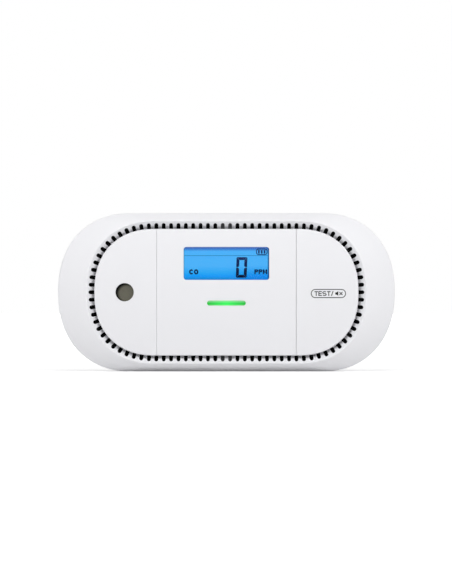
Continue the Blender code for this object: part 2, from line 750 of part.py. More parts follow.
def half_path(side, start):
    """The left (-1) or right (1) half of the panel outline, from start at the top round to the bottom."""
    base = quarter_cap(PANEL_HALF_LENGTH, PANEL_HALF_HEIGHT, PANEL_CAP, PANEL_CAP_POWER, 0.0)
    moved = quarter_cap(PANEL_HALF_LENGTH, PANEL_HALF_HEIGHT, PANEL_CAP, PANEL_CAP_POWER, 1.0)
    arc = [(Vector(a), Vector(b) - Vector(a)) for a, b in zip(base, moved)][::-1]
    lower = [(Vector((a.x, -a.y)), Vector((b.x, -b.y))) for a, b in arc[:-1]][::-1]
    first = (Vector((start, PANEL_HALF_HEIGHT)), Vector((0, 1)))
    last = (Vector((start, -PANEL_HALF_HEIGHT)), Vector((0, -1)))
    path = [first] + arc + lower + [last]
    return [(Vector((side * a.x, a.y)), Vector((side * b.x, b.y))) for a, b in path]


def build_screens():
    for name, side in (("vent_screen_left", -1), ("vent_screen_right", 1)):
        mesh = bmesh.new()
        moat_band(mesh, half_path(side, CLIP_LENGTH / 2 + FIT), SCREEN_THICK)
        add(name, mesh, material("black woven mesh", "121314", 0.9))
    for name, up in (("screen_clip_top", 1), ("screen_clip_bottom", -1)):
        mesh = bmesh.new()
        ends = [Vector((x, up * PANEL_HALF_HEIGHT)) for x in (-CLIP_LENGTH / 2, CLIP_LENGTH / 2)]
        moat_band(mesh, [(end, Vector((0, up))) for end in ends], CLIP_THICK)
        add(name, mesh, grey_plastic())


# Panels


def panel_plate(mesh, outline, rib_height):
    """A panel with rounded front edges and a rib round its back; outline takes two insets."""
    inner = RIB_INSET + RIB_THICK
    rib_end = PANEL_THICK + rib_height
    loops = [
        at_depth(outline(PANEL_EDGE, SEAM_EDGE), 0),
        at_depth(outline(PANEL_EDGE * EDGE_SOFT, SEAM_EDGE * EDGE_SOFT), PANEL_EDGE * EDGE_SOFT),
        at_depth(outline(0, 0), PANEL_EDGE),
        at_depth(outline(0, 0), PANEL_THICK),
        at_depth(outline(RIB_INSET, RIB_INSET), PANEL_THICK),
        at_depth(outline(RIB_INSET, RIB_INSET), rib_end),
        at_depth(outline(inner, inner), rib_end),
        at_depth(outline(inner, inner), PANEL_THICK),
    ]
    loft(mesh, loops)


def middle_pegs():
    x = SEAM - PEG_INSET
    return [(sx * x, sz * PEG_SPREAD / 2) for sx in (-1, 1) for sz in (-1, 1)]


def horn_pegs():
    x = -(SEAM + HORN_PEG_FROM_SEAM)
    return [(x, sz * HORN_PEG_SPREAD / 2) for sz in (-1, 1)]


def peg_places():
    return middle_pegs() + horn_pegs()


def pegs(mesh, places):
    for x, z in places:
        outline = round_outline(x, z, PEG_RADIUS, ROUND_STEPS // 2)
        prism(mesh, outline, PANEL_THICK - BURY, FLOOR_BACK + PEG_REACH)


def build_display_panel():
    mesh = bmesh.new()
    panel_plate(mesh, middle_panel_outline, PANEL_SEAT - FIT)
    panel = add("display_panel", mesh, white_plastic())
    mesh = bmesh.new()
    pegs(mesh, middle_pegs())
    combine(panel, helper("display_panel_pegs", mesh), "UNION")
    mesh = bmesh.new()
    rebate = PANEL_THICK - LENS_REBATE
    behind = PANEL_THICK + BURY
    window = [
        at_depth(window_outline(0), -BURY),
        at_depth(window_outline(0), rebate),
        at_depth(window_outline(LENS_MARGIN + FIT), rebate),
        at_depth(window_outline(LENS_MARGIN + FIT), behind),
    ]
    loft(mesh, window)
    prism(mesh, bar_outline(BAR_SLACK), -BURY, behind)
    combine(panel, helper("display_panel_openings", mesh), "DIFFERENCE")


def build_horn_panel():
    mesh = bmesh.new()
    panel_plate(mesh, left_panel_outline, PANEL_SEAT - FIT)
    panel = add("horn_panel", mesh, white_plastic())
    rebate = HORN_HOLE_RADIUS + GAUZE_MARGIN + FIT
    mesh = bmesh.new()
    pegs(mesh, horn_pegs())
    collar = [(PANEL_THICK - BURY, rebate + COLLAR_THICK), (FLOOR_FRONT - FIT, rebate + COLLAR_THICK)]
    turned(mesh, HORN_X, 0, collar, HORN_TURN_STEPS)
    combine(panel, helper("horn_panel_pegs", mesh), "UNION")
    mesh = bmesh.new()
    seat = PANEL_THICK - GAUZE_REBATE
    hole = [(-BURY, HORN_HOLE_RADIUS), (seat, HORN_HOLE_RADIUS), (seat, rebate), (FLOOR_FRONT, rebate)]
    turned(mesh, HORN_X, 0, hole, HORN_TURN_STEPS)
    combine(panel, helper("horn_panel_hole", mesh), "DIFFERENCE")


def hook_outline():
    """The catch that holds the button's outer end, seen from above as (x, depth)."""
    inner = HOOK_X - HOOK_THICK
    root = PANEL_THICK - BURY
    seat = FLOOR_BACK + FIT
    tail = seat + HOOK_NOSE
    stem = [(inner, tail), (inner, root), (HOOK_X, root)]
    barb = [(HOOK_X, seat), (HOOK_X + HOOK_BARB, seat), (HOOK_X, tail)]
    return stem + barb


def build_test_button():
    axis = place(HINGE_X, HINGE_DEPTH, 0)
    mesh = bmesh.new()
    panel_plate(mesh, right_panel_outline, BUTTON_RIB)
    button = add("test_button", mesh, white_plastic(), axis)
    mesh = bmesh.new()
    for middle in lug_middles():
        left = HINGE_X - LUG_HALF_THICK
        right = HINGE_X + LUG_HALF_THICK
        ends = (middle - LUG_WIDTH / 2, middle + LUG_WIDTH / 2)
        block(mesh, left, right, PANEL_THICK - BURY, HINGE_DEPTH + LUG_TAIL, *ends)
    upright(mesh, hook_outline(), -HOOK_WIDTH / 2, HOOK_WIDTH / 2)
    turned(mesh, TEST_X, TEST_Z, [(PANEL_THICK - BURY, BOSS_RADIUS), (PLUNGER_FRONT - FIT, BOSS_RADIUS)])
    combine(button, helper("button_lugs", mesh), "UNION")
    mesh = bmesh.new()
    for middle in lug_middles():
        reach = LUG_WIDTH / 2 + PIN_REACH
        rod_along_z(mesh, HINGE_X, HINGE_DEPTH, middle - reach, middle + reach, PIN_RADIUS)
    combine(button, helper("button_pins", mesh), "UNION")


# Display


def build_display():
    mesh = bmesh.new()
    prism(mesh, window_outline(LENS_MARGIN), LENS_FRONT, LENS_FRONT + LENS_THICK)
    add("display_lens", mesh, material("clear acrylic", "dfe9f2", 0.05))
    mesh = bmesh.new()
    half = GLASS_HALF_LENGTH
    block(mesh, -half, half, GLASS_FRONT, GLASS_FRONT + GLASS_THICK, GLASS_BOTTOM, GLASS_TOP)
    add("lcd_glass", mesh, material("blue display glass", "3f9ff0", 0.15))
    mesh = bmesh.new()
    back = BACKLIGHT_FRONT + BACKLIGHT_THICK
    block(mesh, -half, half, BACKLIGHT_FRONT, back, BACKLIGHT_BOTTOM, GLASS_TOP)
    add("lcd_backlight", mesh, material("milky light guide", "e8f1fa", 0.4))
    mesh = bmesh.new()
    half = STRIP_HALF_LENGTH
    ends = (STRIP_Z - STRIP_THICK / 2, STRIP_Z + STRIP_THICK / 2)
    block(mesh, -half, half, GLASS_FRONT + GLASS_THICK + FIT, BOARD_FRONT - FIT, *ends)
    add("lcd_contact_strip", mesh, material("striped contact rubber", "8f5a57", 0.8))


def build_display_frame():
    mesh = bmesh.new()
    pocket = GLASS_HALF_LENGTH + FIT
    front = FLOOR_BACK + FIT
    back = BOARD_FRONT - FIT

    def at(out, depth):
        half = pocket + out
        return at_depth(box_outline(-half, half, GLASS_BOTTOM - FIT - out, GLASS_TOP + FIT + out), depth)

    loops = [
        at(FRAME_WALL, front),
        at(FRAME_WALL, back),
        at(-FRAME_LEDGE, back),
        at(-FRAME_LEDGE, SHELF_FRONT),
        at(0, SHELF_FRONT),
        at(0, front),
    ]
    loft(mesh, loops, wrapped=True)
    frame = add("lcd_frame", mesh, black_plastic())
    mesh = bmesh.new()
    half = STRIP_HALF_LENGTH + FIT
    ends = (STRIP_Z - STRIP_THICK / 2 - FIT, STRIP_Z + STRIP_THICK / 2 + FIT)
    block(mesh, -half, half, front - BURY, back + BURY, *ends)
    combine(frame, helper("frame_slit", mesh), "DIFFERENCE")


def build_lamp_bar():
    mesh = bmesh.new()
    flange = PANEL_THICK + FIT
    tail = BOARD_FRONT - 2 * FIT - LAMP_HEIGHT
    loops = [
        at_depth(bar_outline(-BAR_SLACK), BAR_PROUD),
        at_depth(bar_outline(-BAR_SLACK), flange),
        at_depth(bar_outline(BAR_FLANGE), flange),
        at_depth(bar_outline(BAR_FLANGE), FLOOR_FRONT - FIT),
        at_depth(bar_outline(), FLOOR_FRONT - FIT),
        at_depth(bar_outline(), tail - FIT),
    ]
    loft(mesh, loops)
    add("light_pipe", mesh, material("milky acrylic", "7ff29a", 0.25))
    names = (("lamp_red", "d5402f"), ("lamp_yellow", "d9b52c"), ("lamp_green", "3fc95a"))
    for number, (name, colour) in enumerate(names):
        mesh = bmesh.new()
        x = (number - 1) * LAMP_PITCH
        ends = (BAR_Z - LAMP_WIDTH / 2, BAR_Z + LAMP_WIDTH / 2)
        block(mesh, x - LAMP_LENGTH / 2, x + LAMP_LENGTH / 2, tail, tail + LAMP_HEIGHT, *ends)
        add(name, mesh, material(name.replace("_", " ") + " resin", colour, 0.3))


# Sounder


def build_horn():
    gauze = GAUZE_MARGIN + HORN_HOLE_RADIUS
    front = PANEL_THICK - GAUZE_REBATE + FIT
    mesh = bmesh.new()
    turned(mesh, HORN_X, 0, [(front, gauze), (front + GAUZE_THICK, gauze)], HORN_TURN_STEPS)
    add("horn_gauze", mesh, material("olive woven gauze", "67665a", 0.85))

    seat = HORN_RADIUS - HORN_WALL
    plate = seat - FIT
    lip = plate - HORN_LIP
    housing_front = FLOOR_BACK + FIT
    lip_back = housing_front + HORN_CHAMBER
    plate_front = lip_back + FIT
    plate_back = plate_front + PLATE_THICK
    ring_front = plate_back + FIT
    ring_back = ring_front + RING_HEIGHT
    mesh = bmesh.new()
    section = [
        (housing_front, HORN_RADIUS),
        (ring_back, HORN_RADIUS),
        (ring_back, seat),
        (lip_back, seat),
        (lip_back, lip),
        (housing_front, lip),
    ]
    ring_turned(mesh, HORN_X, 0, section, HORN_TURN_STEPS)
    add("horn_housing", mesh, black_plastic())
    mesh = bmesh.new()
    turned(mesh, HORN_X, 0, [(plate_front, plate), (plate_back, plate)], HORN_TURN_STEPS)
    add("horn_plate", mesh, material("brass sheet", "c9a350", 0.3, 1.0))
    mesh = bmesh.new()
    ceramic_front = plate_back + FIT
    ceramic = [(ceramic_front, CERAMIC_RADIUS), (ceramic_front + CERAMIC_THICK, CERAMIC_RADIUS)]
    turned(mesh, HORN_X, 0, ceramic, HORN_TURN_STEPS)
    add("horn_ceramic", mesh, material("silvered ceramic", "d6d6d2", 0.35))
    mesh = bmesh.new()
    hollow = plate - RING_WIDTH
    section = [(ring_front, plate), (ring_back, plate), (ring_back, hollow), (ring_front, hollow)]
    ring_turned(mesh, HORN_X, 0, section, HORN_TURN_STEPS)
    add("horn_ring", mesh, grey_plastic())
    mesh = bmesh.new()
    cap_front = ring_back + FIT
    cap_back = cap_front + HORN_CAP_THICK
    turned(mesh, HORN_X, 0, [(cap_front, HORN_RADIUS), (cap_back, HORN_RADIUS)], HORN_TURN_STEPS)
    add("horn_cap", mesh, black_plastic())
    build_wires(cap_back)


def build_wires(cap_back):
    """Two leads from the back of the sounder to the back of the board, above the coil."""
    start_x = HORN_X + HORN_RADIUS - WIRE_RUN / 2
    end_x = BOARD_LEFT + WIRE_RUN
    start_depth = cap_back + FIT + WIRE_RADIUS
    end_depth = BOARD_BACK + FIT + WIRE_RADIUS
    climb = PARTS_Z + COIL_SIDE / 2 + WIRE_CLEAR + WIRE_SPREAD / 2
    for name, side, colour in (("horn_wire_red", 1, "b23227"), ("horn_wire_black", -1, "1a1a1a")):
        curve = bpy.data.curves.new(name, "CURVE")
        curve.dimensions = "3D"
        curve.bevel_depth = WIRE_RADIUS
        curve.bevel_resolution = 1
        curve.use_fill_caps = True
        spline = curve.splines.new("POLY")
        spline.points.add(WIRE_STEPS)
        for step in range(WIRE_STEPS + 1):
            share = step / WIRE_STEPS
            depth = start_depth + (end_depth - start_depth) * share + WIRE_RISE * math.sin(math.pi * share)
            x = start_x + (end_x - start_x) * share
            point = place(x, depth, climb * share + side * WIRE_SPREAD / 2)
            spline.points[step].co = (*point, 1.0)
        curve.materials.append(material(name.replace("_", " ") + " sleeve", colour, 0.5))
        bpy.context.scene.collection.objects.link(bpy.data.objects.new(name, curve))


# Board


def build_board():
    mesh = bmesh.new()
    outline = rounded_box(BOARD_LEFT, BOARD_RIGHT, -BOARD_HALF_HEIGHT, BOARD_HALF_HEIGHT, BOARD_ROUND)
    prism(mesh, outline, BOARD_FRONT, BOARD_BACK)
    board = add("main_board", mesh, material("green board laminate", "1f5b3a", 0.5))
    mesh = bmesh.new()
    for x, z in BOARD_POSTS:
        hole = round_outline(x, z, BOARD_SCREW_RADIUS + FIT, ROUND_STEPS // 2)
        prism(mesh, hole, BOARD_FRONT - BURY, BOARD_BACK + BURY)
    combine(board, helper("board_holes", mesh), "DIFFERENCE")


def build_switch():
    mesh = bmesh.new()
    half = SWITCH_SIDE / 2
    block(mesh, TEST_X - half, TEST_X + half, SWITCH_FRONT, BOARD_FRONT - FIT, TEST_Z - half, TEST_Z + half)
    body = add("switch_body", mesh, black_plastic())
    bottom = SWITCH_FRONT + PLUNGER_BURIED
    mesh = bmesh.new()
    well = round_outline(TEST_X, TEST_Z, PLUNGER_RADIUS + FIT)
    prism(mesh, well, SWITCH_FRONT - BURY, bottom + PLUNGER_TRAVEL)
    combine(body, helper("switch_well", mesh), "DIFFERENCE")
    mesh = bmesh.new()
    turned(mesh, TEST_X, TEST_Z, [(PLUNGER_FRONT, PLUNGER_RADIUS), (bottom, PLUNGER_RADIUS)])
    add("switch_plunger", mesh, grey_plastic(), place(TEST_X, PLUNGER_FRONT, TEST_Z))


def build_sensor():
    mesh = bmesh.new()
    top = PART_BACK + SENSOR_HEIGHT
    well = FILTER_RADIUS + FIT
    profile = [
        (PART_BACK, SENSOR_RADIUS),
        (top - SENSOR_WELL, SENSOR_RADIUS),
        (top, SENSOR_RADIUS - SENSOR_WELL),
        (top, well),
        (top - SENSOR_WELL, well),
    ]
    turned(mesh, SENSOR_X, SENSOR_Z, profile, HORN_TURN_STEPS)
    add("gas_sensor_can", mesh, steel())
    mesh = bmesh.new()
    front = top - SENSOR_WELL + FIT
    back = front + FILTER_THICK
    section = [(front, FILTER_RADIUS), (back, FILTER_RADIUS), (back, FILTER_PORT), (front, FILTER_PORT)]
    ring_turned(mesh, SENSOR_X, SENSOR_Z, section, HORN_TURN_STEPS)
    add("gas_sensor_filter", mesh, black_plastic())


def build_board_parts():
    for name, x, side, height, finish in (
        ("controller_chip", CHIP_X, CHIP_SIDE, CHIP_HEIGHT, black_plastic()),
        ("horn_coil", COIL_X, COIL_SIDE, COIL_HEIGHT, material("dark ferrite", "2d2b2b", 0.5)),
    ):
        mesh = bmesh.new()
        half = side / 2
        block(mesh, x - half, x + half, PART_BACK, PART_BACK + height, PARTS_Z - half, PARTS_Z + half)
        add(name, mesh, finish)
    mesh = bmesh.new()
    turned(mesh, 0, PARTS_Z, [(PART_BACK, CAN_RADIUS), (PART_BACK + CAN_HEIGHT, CAN_RADIUS)])
    add("storage_capacitor", mesh, material("sleeved can", "27344f", 0.4))


# Rear cover and battery


def rear_shell():
    mesh = bmesh.new()
    edge = PARTING + FIT
    tongue = PARTING - LIP_HEIGHT
    inside = case_outline(-WALL - REAR_ROUND)
    loops = [
        at_depth(inside, REAR_INNER),
        at_depth(case_outline(-WALL), REAR_INNER - WALL),
        at_depth(case_outline(-WALL), tongue),
        at_depth(case_outline(-LIP_WALL - FIT), tongue),
        at_depth(case_outline(-LIP_WALL - FIT), edge),
        at_depth(case_outline(), edge),
    ]
    for step in range(REAR_STEPS + 1):
        turn = math.pi / 2 * step / REAR_STEPS
        inset = REAR_ROUND * (1 - math.cos(turn))
        loops.append(at_depth(case_outline(-inset), CASE_DEPTH - REAR_ROUND * (1 - math.sin(turn))))
    loft(mesh, loops)
    return mesh


def keyhole_pocket(side, margin):
    """The outline of a pocket that holds a screw's head anywhere along its keyhole."""
    x = side * KEYHOLE_X
    reach = KEYHOLE_HEAD + margin
    return box_outline(x - reach, x + reach, KEYHOLE_RISE - reach, KEYHOLE_RISE + KEYHOLE_RUN + reach)


def rear_bosses():
    mesh = bmesh.new()
    inside = CASE_DEPTH - WALL / 2
    half = POCKET_HALF_LENGTH + BAY_WALL
    height = POCKET_HALF_HEIGHT + BAY_WALL
    block(mesh, -half, half, BAY_FRONT, inside, BAY_Z - height, BAY_Z + height)
    for x, z in CASE_POSTS:
        turned(mesh, x, z, [(POST_END + FIT, REAR_BOSS_RADIUS), (inside, REAR_BOSS_RADIUS)])
    for side in (-1, 1):
        pocket = keyhole_pocket(side, KEYHOLE_POCKET_SLACK + KEYHOLE_POCKET_WALL)
        prism(mesh, pocket, REAR_INNER - KEYHOLE_POCKET - KEYHOLE_POCKET_WALL, inside)
    return mesh


def rear_openings():
    mesh = bmesh.new()
    behind = CASE_DEPTH + BURY

    def bay(half_length, half_height, depth):
        outline = box_outline(-half_length, half_length, BAY_Z - half_height, BAY_Z + half_height)
        return at_depth(outline, depth)

    ledge = DOOR_FRONT - FIT
    loops = [
        bay(POCKET_HALF_LENGTH, POCKET_HALF_HEIGHT, POCKET_FRONT),
        bay(POCKET_HALF_LENGTH, POCKET_HALF_HEIGHT, ledge),
        bay(RECESS_HALF_LENGTH, RECESS_HALF_HEIGHT, ledge),
        bay(RECESS_HALF_LENGTH, RECESS_HALF_HEIGHT, behind),
    ]
    loft(mesh, loops)
    for side in (-1, 1):
        outline = keyhole_outline(side * KEYHOLE_X, KEYHOLE_RISE)
        prism(mesh, outline, REAR_INNER - BURY, behind)
    head = CASE_HEAD_RADIUS + FIT
    shank = CASE_SCREW_RADIUS + FIT
    seat = SCREW_SEAT - FIT
    for x, z in CASE_POSTS:
        turned(mesh, x, z, [(POST_END - BURY, shank), (seat, shank), (seat, head), (behind, head)])
    return mesh


def contact_places():
    """The x of the left face of each contact: behind the spring, and at the cell's positive end."""
    behind_spring = SPRING_LEFT - FIT - CONTACT_THICK
    return (("battery_contact_minus", behind_spring), ("battery_contact_plus", CELL_RIGHT + FIT))


def rear_slits():
    mesh = bmesh.new()
    half = CONTACT_TAIL / 2 + FIT
    for _, left in contact_places():
        slit = box_outline(left - FIT, left + CONTACT_THICK + FIT, BAY_Z - half, BAY_Z + half)
        prism(mesh, slit, BAY_FRONT - BURY, POCKET_FRONT + BURY)
    hole = DOOR_PIN_RADIUS + RUNNING_FIT
    for side in (-1, 1):
        inner = side * (DOOR_HALF_LENGTH - BURY)
        outer = side * (DOOR_HALF_LENGTH + DOOR_PIN_REACH + FIT)
        rod_along_x(mesh, DOOR_AXIS_DEPTH, DOOR_AXIS_Z, [(inner, hole), (outer, hole)], ROUND_STEPS // 2)
    centre = BAY_Z - RECESS_HALF_HEIGHT
    scoop = [(CASE_DEPTH - NOTCH_DEPTH, NOTCH_OUT), (CASE_DEPTH + BURY, NOTCH_RADIUS)]
    turned(mesh, 0, centre, scoop, ROUND_STEPS)
    for side in (-1, 1):
        pocket = keyhole_pocket(side, KEYHOLE_POCKET_SLACK)
        prism(mesh, pocket, REAR_INNER - KEYHOLE_POCKET, REAR_INNER)
    return mesh


def build_rear_cover():
    cover = add("rear_cover", rear_shell(), white_plastic())
    combine(cover, helper("rear_bosses", rear_bosses()), "UNION")
    combine(cover, helper("rear_openings", rear_openings()), "DIFFERENCE")
    combine(cover, helper("rear_slits", rear_slits()), "DIFFERENCE")


def build_battery_door():
    """A lid hinged along its top edge, which is rounded about the hinge so that it turns in its recess."""
    radius = DOOR_THICK / 2
    outline = [(DOOR_FRONT, BAY_Z - DOOR_HALF_HEIGHT), (CASE_DEPTH, BAY_Z - DOOR_HALF_HEIGHT)]
    for step in range(DOOR_ROUND_STEPS + 1):
        turn = math.pi * step / DOOR_ROUND_STEPS
        outline.append((DOOR_AXIS_DEPTH + radius * math.cos(turn), DOOR_AXIS_Z + radius * math.sin(turn)))
    mesh = bmesh.new()
    lengthwise(mesh, outline, -DOOR_HALF_LENGTH, DOOR_HALF_LENGTH)
    door = add("battery_door", mesh, white_plastic(), place(0, DOOR_AXIS_DEPTH, DOOR_AXIS_Z))
    mesh = bmesh.new()
    reach = DOOR_HALF_LENGTH + DOOR_PIN_REACH
    pin = [(-reach, DOOR_PIN_RADIUS), (reach, DOOR_PIN_RADIUS)]
    rod_along_x(mesh, DOOR_AXIS_DEPTH, DOOR_AXIS_Z, pin, ROUND_STEPS // 2)
    combine(door, helper("door_pin", mesh), "UNION")


def build_battery():
    mesh = bmesh.new()
    shoulder = CELL_RIGHT - CELL_NUB
    profile = [
        (CELL_LEFT, CELL_RADIUS - CELL_EDGE),
        (CELL_LEFT + CELL_EDGE, CELL_RADIUS),
        (shoulder - CELL_EDGE, CELL_RADIUS),
        (shoulder, CELL_RADIUS - CELL_EDGE),
        (shoulder, CELL_NUB_RADIUS),
        (CELL_RIGHT, CELL_NUB_RADIUS),
    ]
    rod_along_x(mesh, CELL_DEPTH, BAY_Z, profile, HORN_TURN_STEPS)
    add("battery_cell", mesh, material("printed cell sleeve", "3a5d8f", 0.35))
    half = CONTACT_WIDTH / 2
    tail = CONTACT_TAIL / 2
    root = POCKET_FRONT + FIT
    end = CELL_DEPTH + CELL_RADIUS - CONTACT_END
    flag = [
        (PART_BACK, BAY_Z - tail),
        (root, BAY_Z - tail),
        (root, BAY_Z - half),
        (end, BAY_Z - half),
        (end, BAY_Z + half),
        (root, BAY_Z + half),
        (root, BAY_Z + tail),
        (PART_BACK, BAY_Z + tail),
    ]
    for name, left in contact_places():
        mesh = bmesh.new()
        lengthwise(mesh, flag, left, left + CONTACT_THICK)
        add(name, mesh, steel())
    build_spring()


def build_spring():
    """A cone-shaped coil between the contact and the cell's flat end, closed by half a turn at each end."""
    curve = bpy.data.curves.new("battery_spring", "CURVE")
    curve.dimensions = "3D"
    curve.bevel_depth = SPRING_WIRE
    curve.bevel_resolution = 1
    curve.use_fill_caps = True
    spline = curve.splines.new("POLY")
    count = round(SPRING_TURNS * SPRING_STEPS)
    spline.points.add(count)
    run = SPRING_LENGTH - 2 * SPRING_WIRE
    for step in range(count + 1):
        share = step / count
        turn = 2 * math.pi * SPRING_TURNS * share
        radius = SPRING_BASE + (SPRING_TIP - SPRING_BASE) * share
        x = SPRING_LEFT + SPRING_WIRE + run * share
        point = place(x, CELL_DEPTH + radius * math.cos(turn), BAY_Z + radius * math.sin(turn))
        spline.points[step].co = (*point, 1.0)
    curve.materials.append(steel())
    bpy.context.scene.collection.objects.link(bpy.data.objects.new("battery_spring", curve))


# Screws


def screw(name, x, z, seat, shank, length, head, head_height):
    """A pan-head screw whose head rests at the seat depth and whose shank points to the front."""
    mesh = bmesh.new()
    profile = [
        (seat - length, shank * SCREW_POINT),
        (seat - length + SCREW_TIP, shank),
        (seat, shank),
        (seat, head),
        (seat + head_height / 2, head),
        (seat + head_height, head * HEAD_CROWN),
    ]
    turned(mesh, x, z, profile, ROUND_STEPS // 2)
    add(name, mesh, steel())


def build_screws():
    sizes = (CASE_SCREW_RADIUS, CASE_SCREW_LENGTH, CASE_HEAD_RADIUS, CASE_HEAD_HEIGHT)
    for number, (x, z) in enumerate(CASE_POSTS, 1):
        screw(f"case_screw_{number}", x, z, SCREW_SEAT, *sizes)
    sizes = (BOARD_SCREW_RADIUS, BOARD_SCREW_LENGTH, BOARD_HEAD_RADIUS, BOARD_HEAD_HEIGHT)
    for number, (x, z) in enumerate(BOARD_POSTS, 1):
        screw(f"board_screw_{number}", x, z, BOARD_BACK + FIT, *sizes)


def clear_scene():
    for part in list(bpy.data.objects):
        bpy.data.objects.remove(part)


clear_scene()
build_front_cover()
build_screens()
build_display_panel()
build_horn_panel()
build_test_button()
build_display()
build_display_frame()
build_lamp_bar()
build_horn()
build_board()
build_switch()
build_sensor()
build_board_parts()
build_rear_cover()
build_battery_door()
build_battery()
build_screws()
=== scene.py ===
"""Looks of a carbon monoxide alarm with a digital display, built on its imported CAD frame.

The file is laid out as an add-on with one operator for each group of pieces, and is run as a script.
Lengths are metres. Outlines are drawn from the front, with x to the right and z up from the middle of
the case, and depth is counted back from the face of the panels.
"""

import math

import bmesh
import bpy
import numpy as np
from bpy.props import FloatProperty, FloatVectorProperty, PointerProperty
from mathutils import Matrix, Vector
from mathutils.geometry import delaunay_2d_cdt


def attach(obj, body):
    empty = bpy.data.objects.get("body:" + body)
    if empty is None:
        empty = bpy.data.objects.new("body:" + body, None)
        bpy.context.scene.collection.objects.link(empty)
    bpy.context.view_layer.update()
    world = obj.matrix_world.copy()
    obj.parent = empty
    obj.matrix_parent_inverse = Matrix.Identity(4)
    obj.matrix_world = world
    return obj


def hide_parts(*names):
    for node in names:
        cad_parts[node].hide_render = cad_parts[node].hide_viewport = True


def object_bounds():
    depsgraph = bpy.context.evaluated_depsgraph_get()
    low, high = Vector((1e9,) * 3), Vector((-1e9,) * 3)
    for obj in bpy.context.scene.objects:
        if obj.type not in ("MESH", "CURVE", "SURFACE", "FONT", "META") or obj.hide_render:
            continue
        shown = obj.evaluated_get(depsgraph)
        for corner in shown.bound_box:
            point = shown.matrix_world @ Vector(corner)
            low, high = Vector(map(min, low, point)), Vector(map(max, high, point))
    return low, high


bl_info = {
    "name": "Carbon Monoxide Alarm Looks",
    "version": (1, 0, 0),
    "blender": (4, 5, 0),
    "location": "View3D > Sidebar > Alarm",
    "description": "Builds the visible surfaces of a carbon monoxide alarm on its CAD frame",
    "category": "Object",
}

MM = 0.001
WELD = 0.001 * MM  # points closer than this are one point
SHARP = math.radians(32)  # sharper edges stay crisp when shaded
INSIDE_WITH_HOLES = 2  # what the triangulation keeps: the inside of the outer loop without its holes
SHARE, FIRST, SECOND = 0, 6, 7  # inputs of a colour mix, which go by number because their names repeat

# Steps of the grids
PATH_STEPS = 16000  # straight steps that stand for an outline when its length is measured
OUTLINE_STEPS = 360  # round the rear cover
ROUND_STEPS = 48  # round a turned piece or a round hole
EDGE_STEPS = 5  # over a rounded edge
RIM_ROWS = 20  # across the rim
SLOT_COLUMNS = 8  # across a slot
LAND_COLUMNS = 2  # on each side of a slot
TIP_POINTS = 129  # points round the tip of an end panel
TIP_START = 0.02  # way from the start of that tip to its first point
THREAD_COLUMNS = 24  # round a screw
THREAD_ROWS = 5  # along one turn of a thread
SPRING_ROWS = 140  # along the battery spring

# Sizes and places of what lies behind the face
ROOT = 0.8 * MM  # how far a post, peg or lug reaches into the wall that it stands on
SOFT = 0.3 * MM  # rounding of a small outer edge
PASS = 0.3 * MM  # room round what passes through an opening
PEG_RADIUS = 1.4 * MM  # pegs on the back of the two fixed panels
LUG_HALF = 1.5 * MM  # half the width and height of the test button's hinge lugs
LUG_Z = 17.5 * MM  # distance of the test button's hinge lugs from the middle
BOSS_X = 48.3 * MM  # place of the test button's boss over the switch
BOSS_RADIUS = 2.5 * MM
CATCH_INSET = 4.4 * MM  # distance of the test button's catch from its tip
CATCH_HALF = 3.0 * MM  # half the height of that catch
NOTCH_MOUTH = 6.28 * MM  # radius of the finger notch at the back of the case
NOTCH_FLOOR = 5.2 * MM  # radius of that notch at its floor
NOTCH_DEPTH = 1.2 * MM
BAY_WALL = 1.6 * MM
CELL_LEFT = -15.1 * MM
CELL_RIGHT = 19.4 * MM
CELL_RADIUS = 8.5 * MM
CELL_GAP = 0.3 * MM  # gap between the cell and the front of its pocket

# Patterns
CLOUD = 18 * MM  # width of the clouds of tone on a moulded surface
WEAVE = 0.4 * MM  # thread spacing of the gauze and the dust screens, drawn coarse so that it shows

# Widths of the capitals, and the gap between them, as shares of a capital's height
LETTER_WIDTHS = {"C": 0.97, "O": 0.95, "P": 0.84, "M": 0.95, "T": 0.7, "E": 0.71, "S": 0.88, "/": 0.53}
LETTER_GAP = 0.08

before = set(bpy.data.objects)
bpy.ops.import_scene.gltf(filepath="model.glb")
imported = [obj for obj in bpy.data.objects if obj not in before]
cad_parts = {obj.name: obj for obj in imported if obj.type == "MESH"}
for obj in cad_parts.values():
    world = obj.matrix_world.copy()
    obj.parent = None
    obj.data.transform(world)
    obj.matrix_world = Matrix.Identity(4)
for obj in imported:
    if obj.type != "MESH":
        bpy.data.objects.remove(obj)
CAD_BOX = [list(corner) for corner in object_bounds()]
CAD_SIZE = [high - low for low, high in zip(*CAD_BOX)]


# Settings


def mm(*values):
    """Lengths in metres from lengths in millimetres."""
    return [value * MM for value in values]


def linear(code):
    """The linear colour of an sRGB colour written as six hex digits."""
    channels = np.array([int(code[start : start + 2], 16) for start in (0, 2, 4)]) / 255
    light = np.where(channels <= 0.04045, channels / 12.92, ((channels + 0.055) / 1.055) ** 2.4)
    return (*light.tolist(), 1.0)


BLACK = linear("000000")
WHITE = linear("ffffff")


def plain_number(name, description, value):
    """A plain number that a user can change."""
    return FloatProperty(name=name, description=description, default=value)


def length(name, description, millimetres):
    """A length that a user can change, given in millimetres."""
    start = millimetres * MM
    return FloatProperty(name=name, description=description, default=start, unit="LENGTH", precision=5)


def colour(name, description, code):
    """A colour that a user can change, given as six hex digits."""
    start = linear(code)
    return FloatVectorProperty(
        name=name, description=description, default=start, subtype="COLOR", size=4, min=0.0, max=1.0
    )


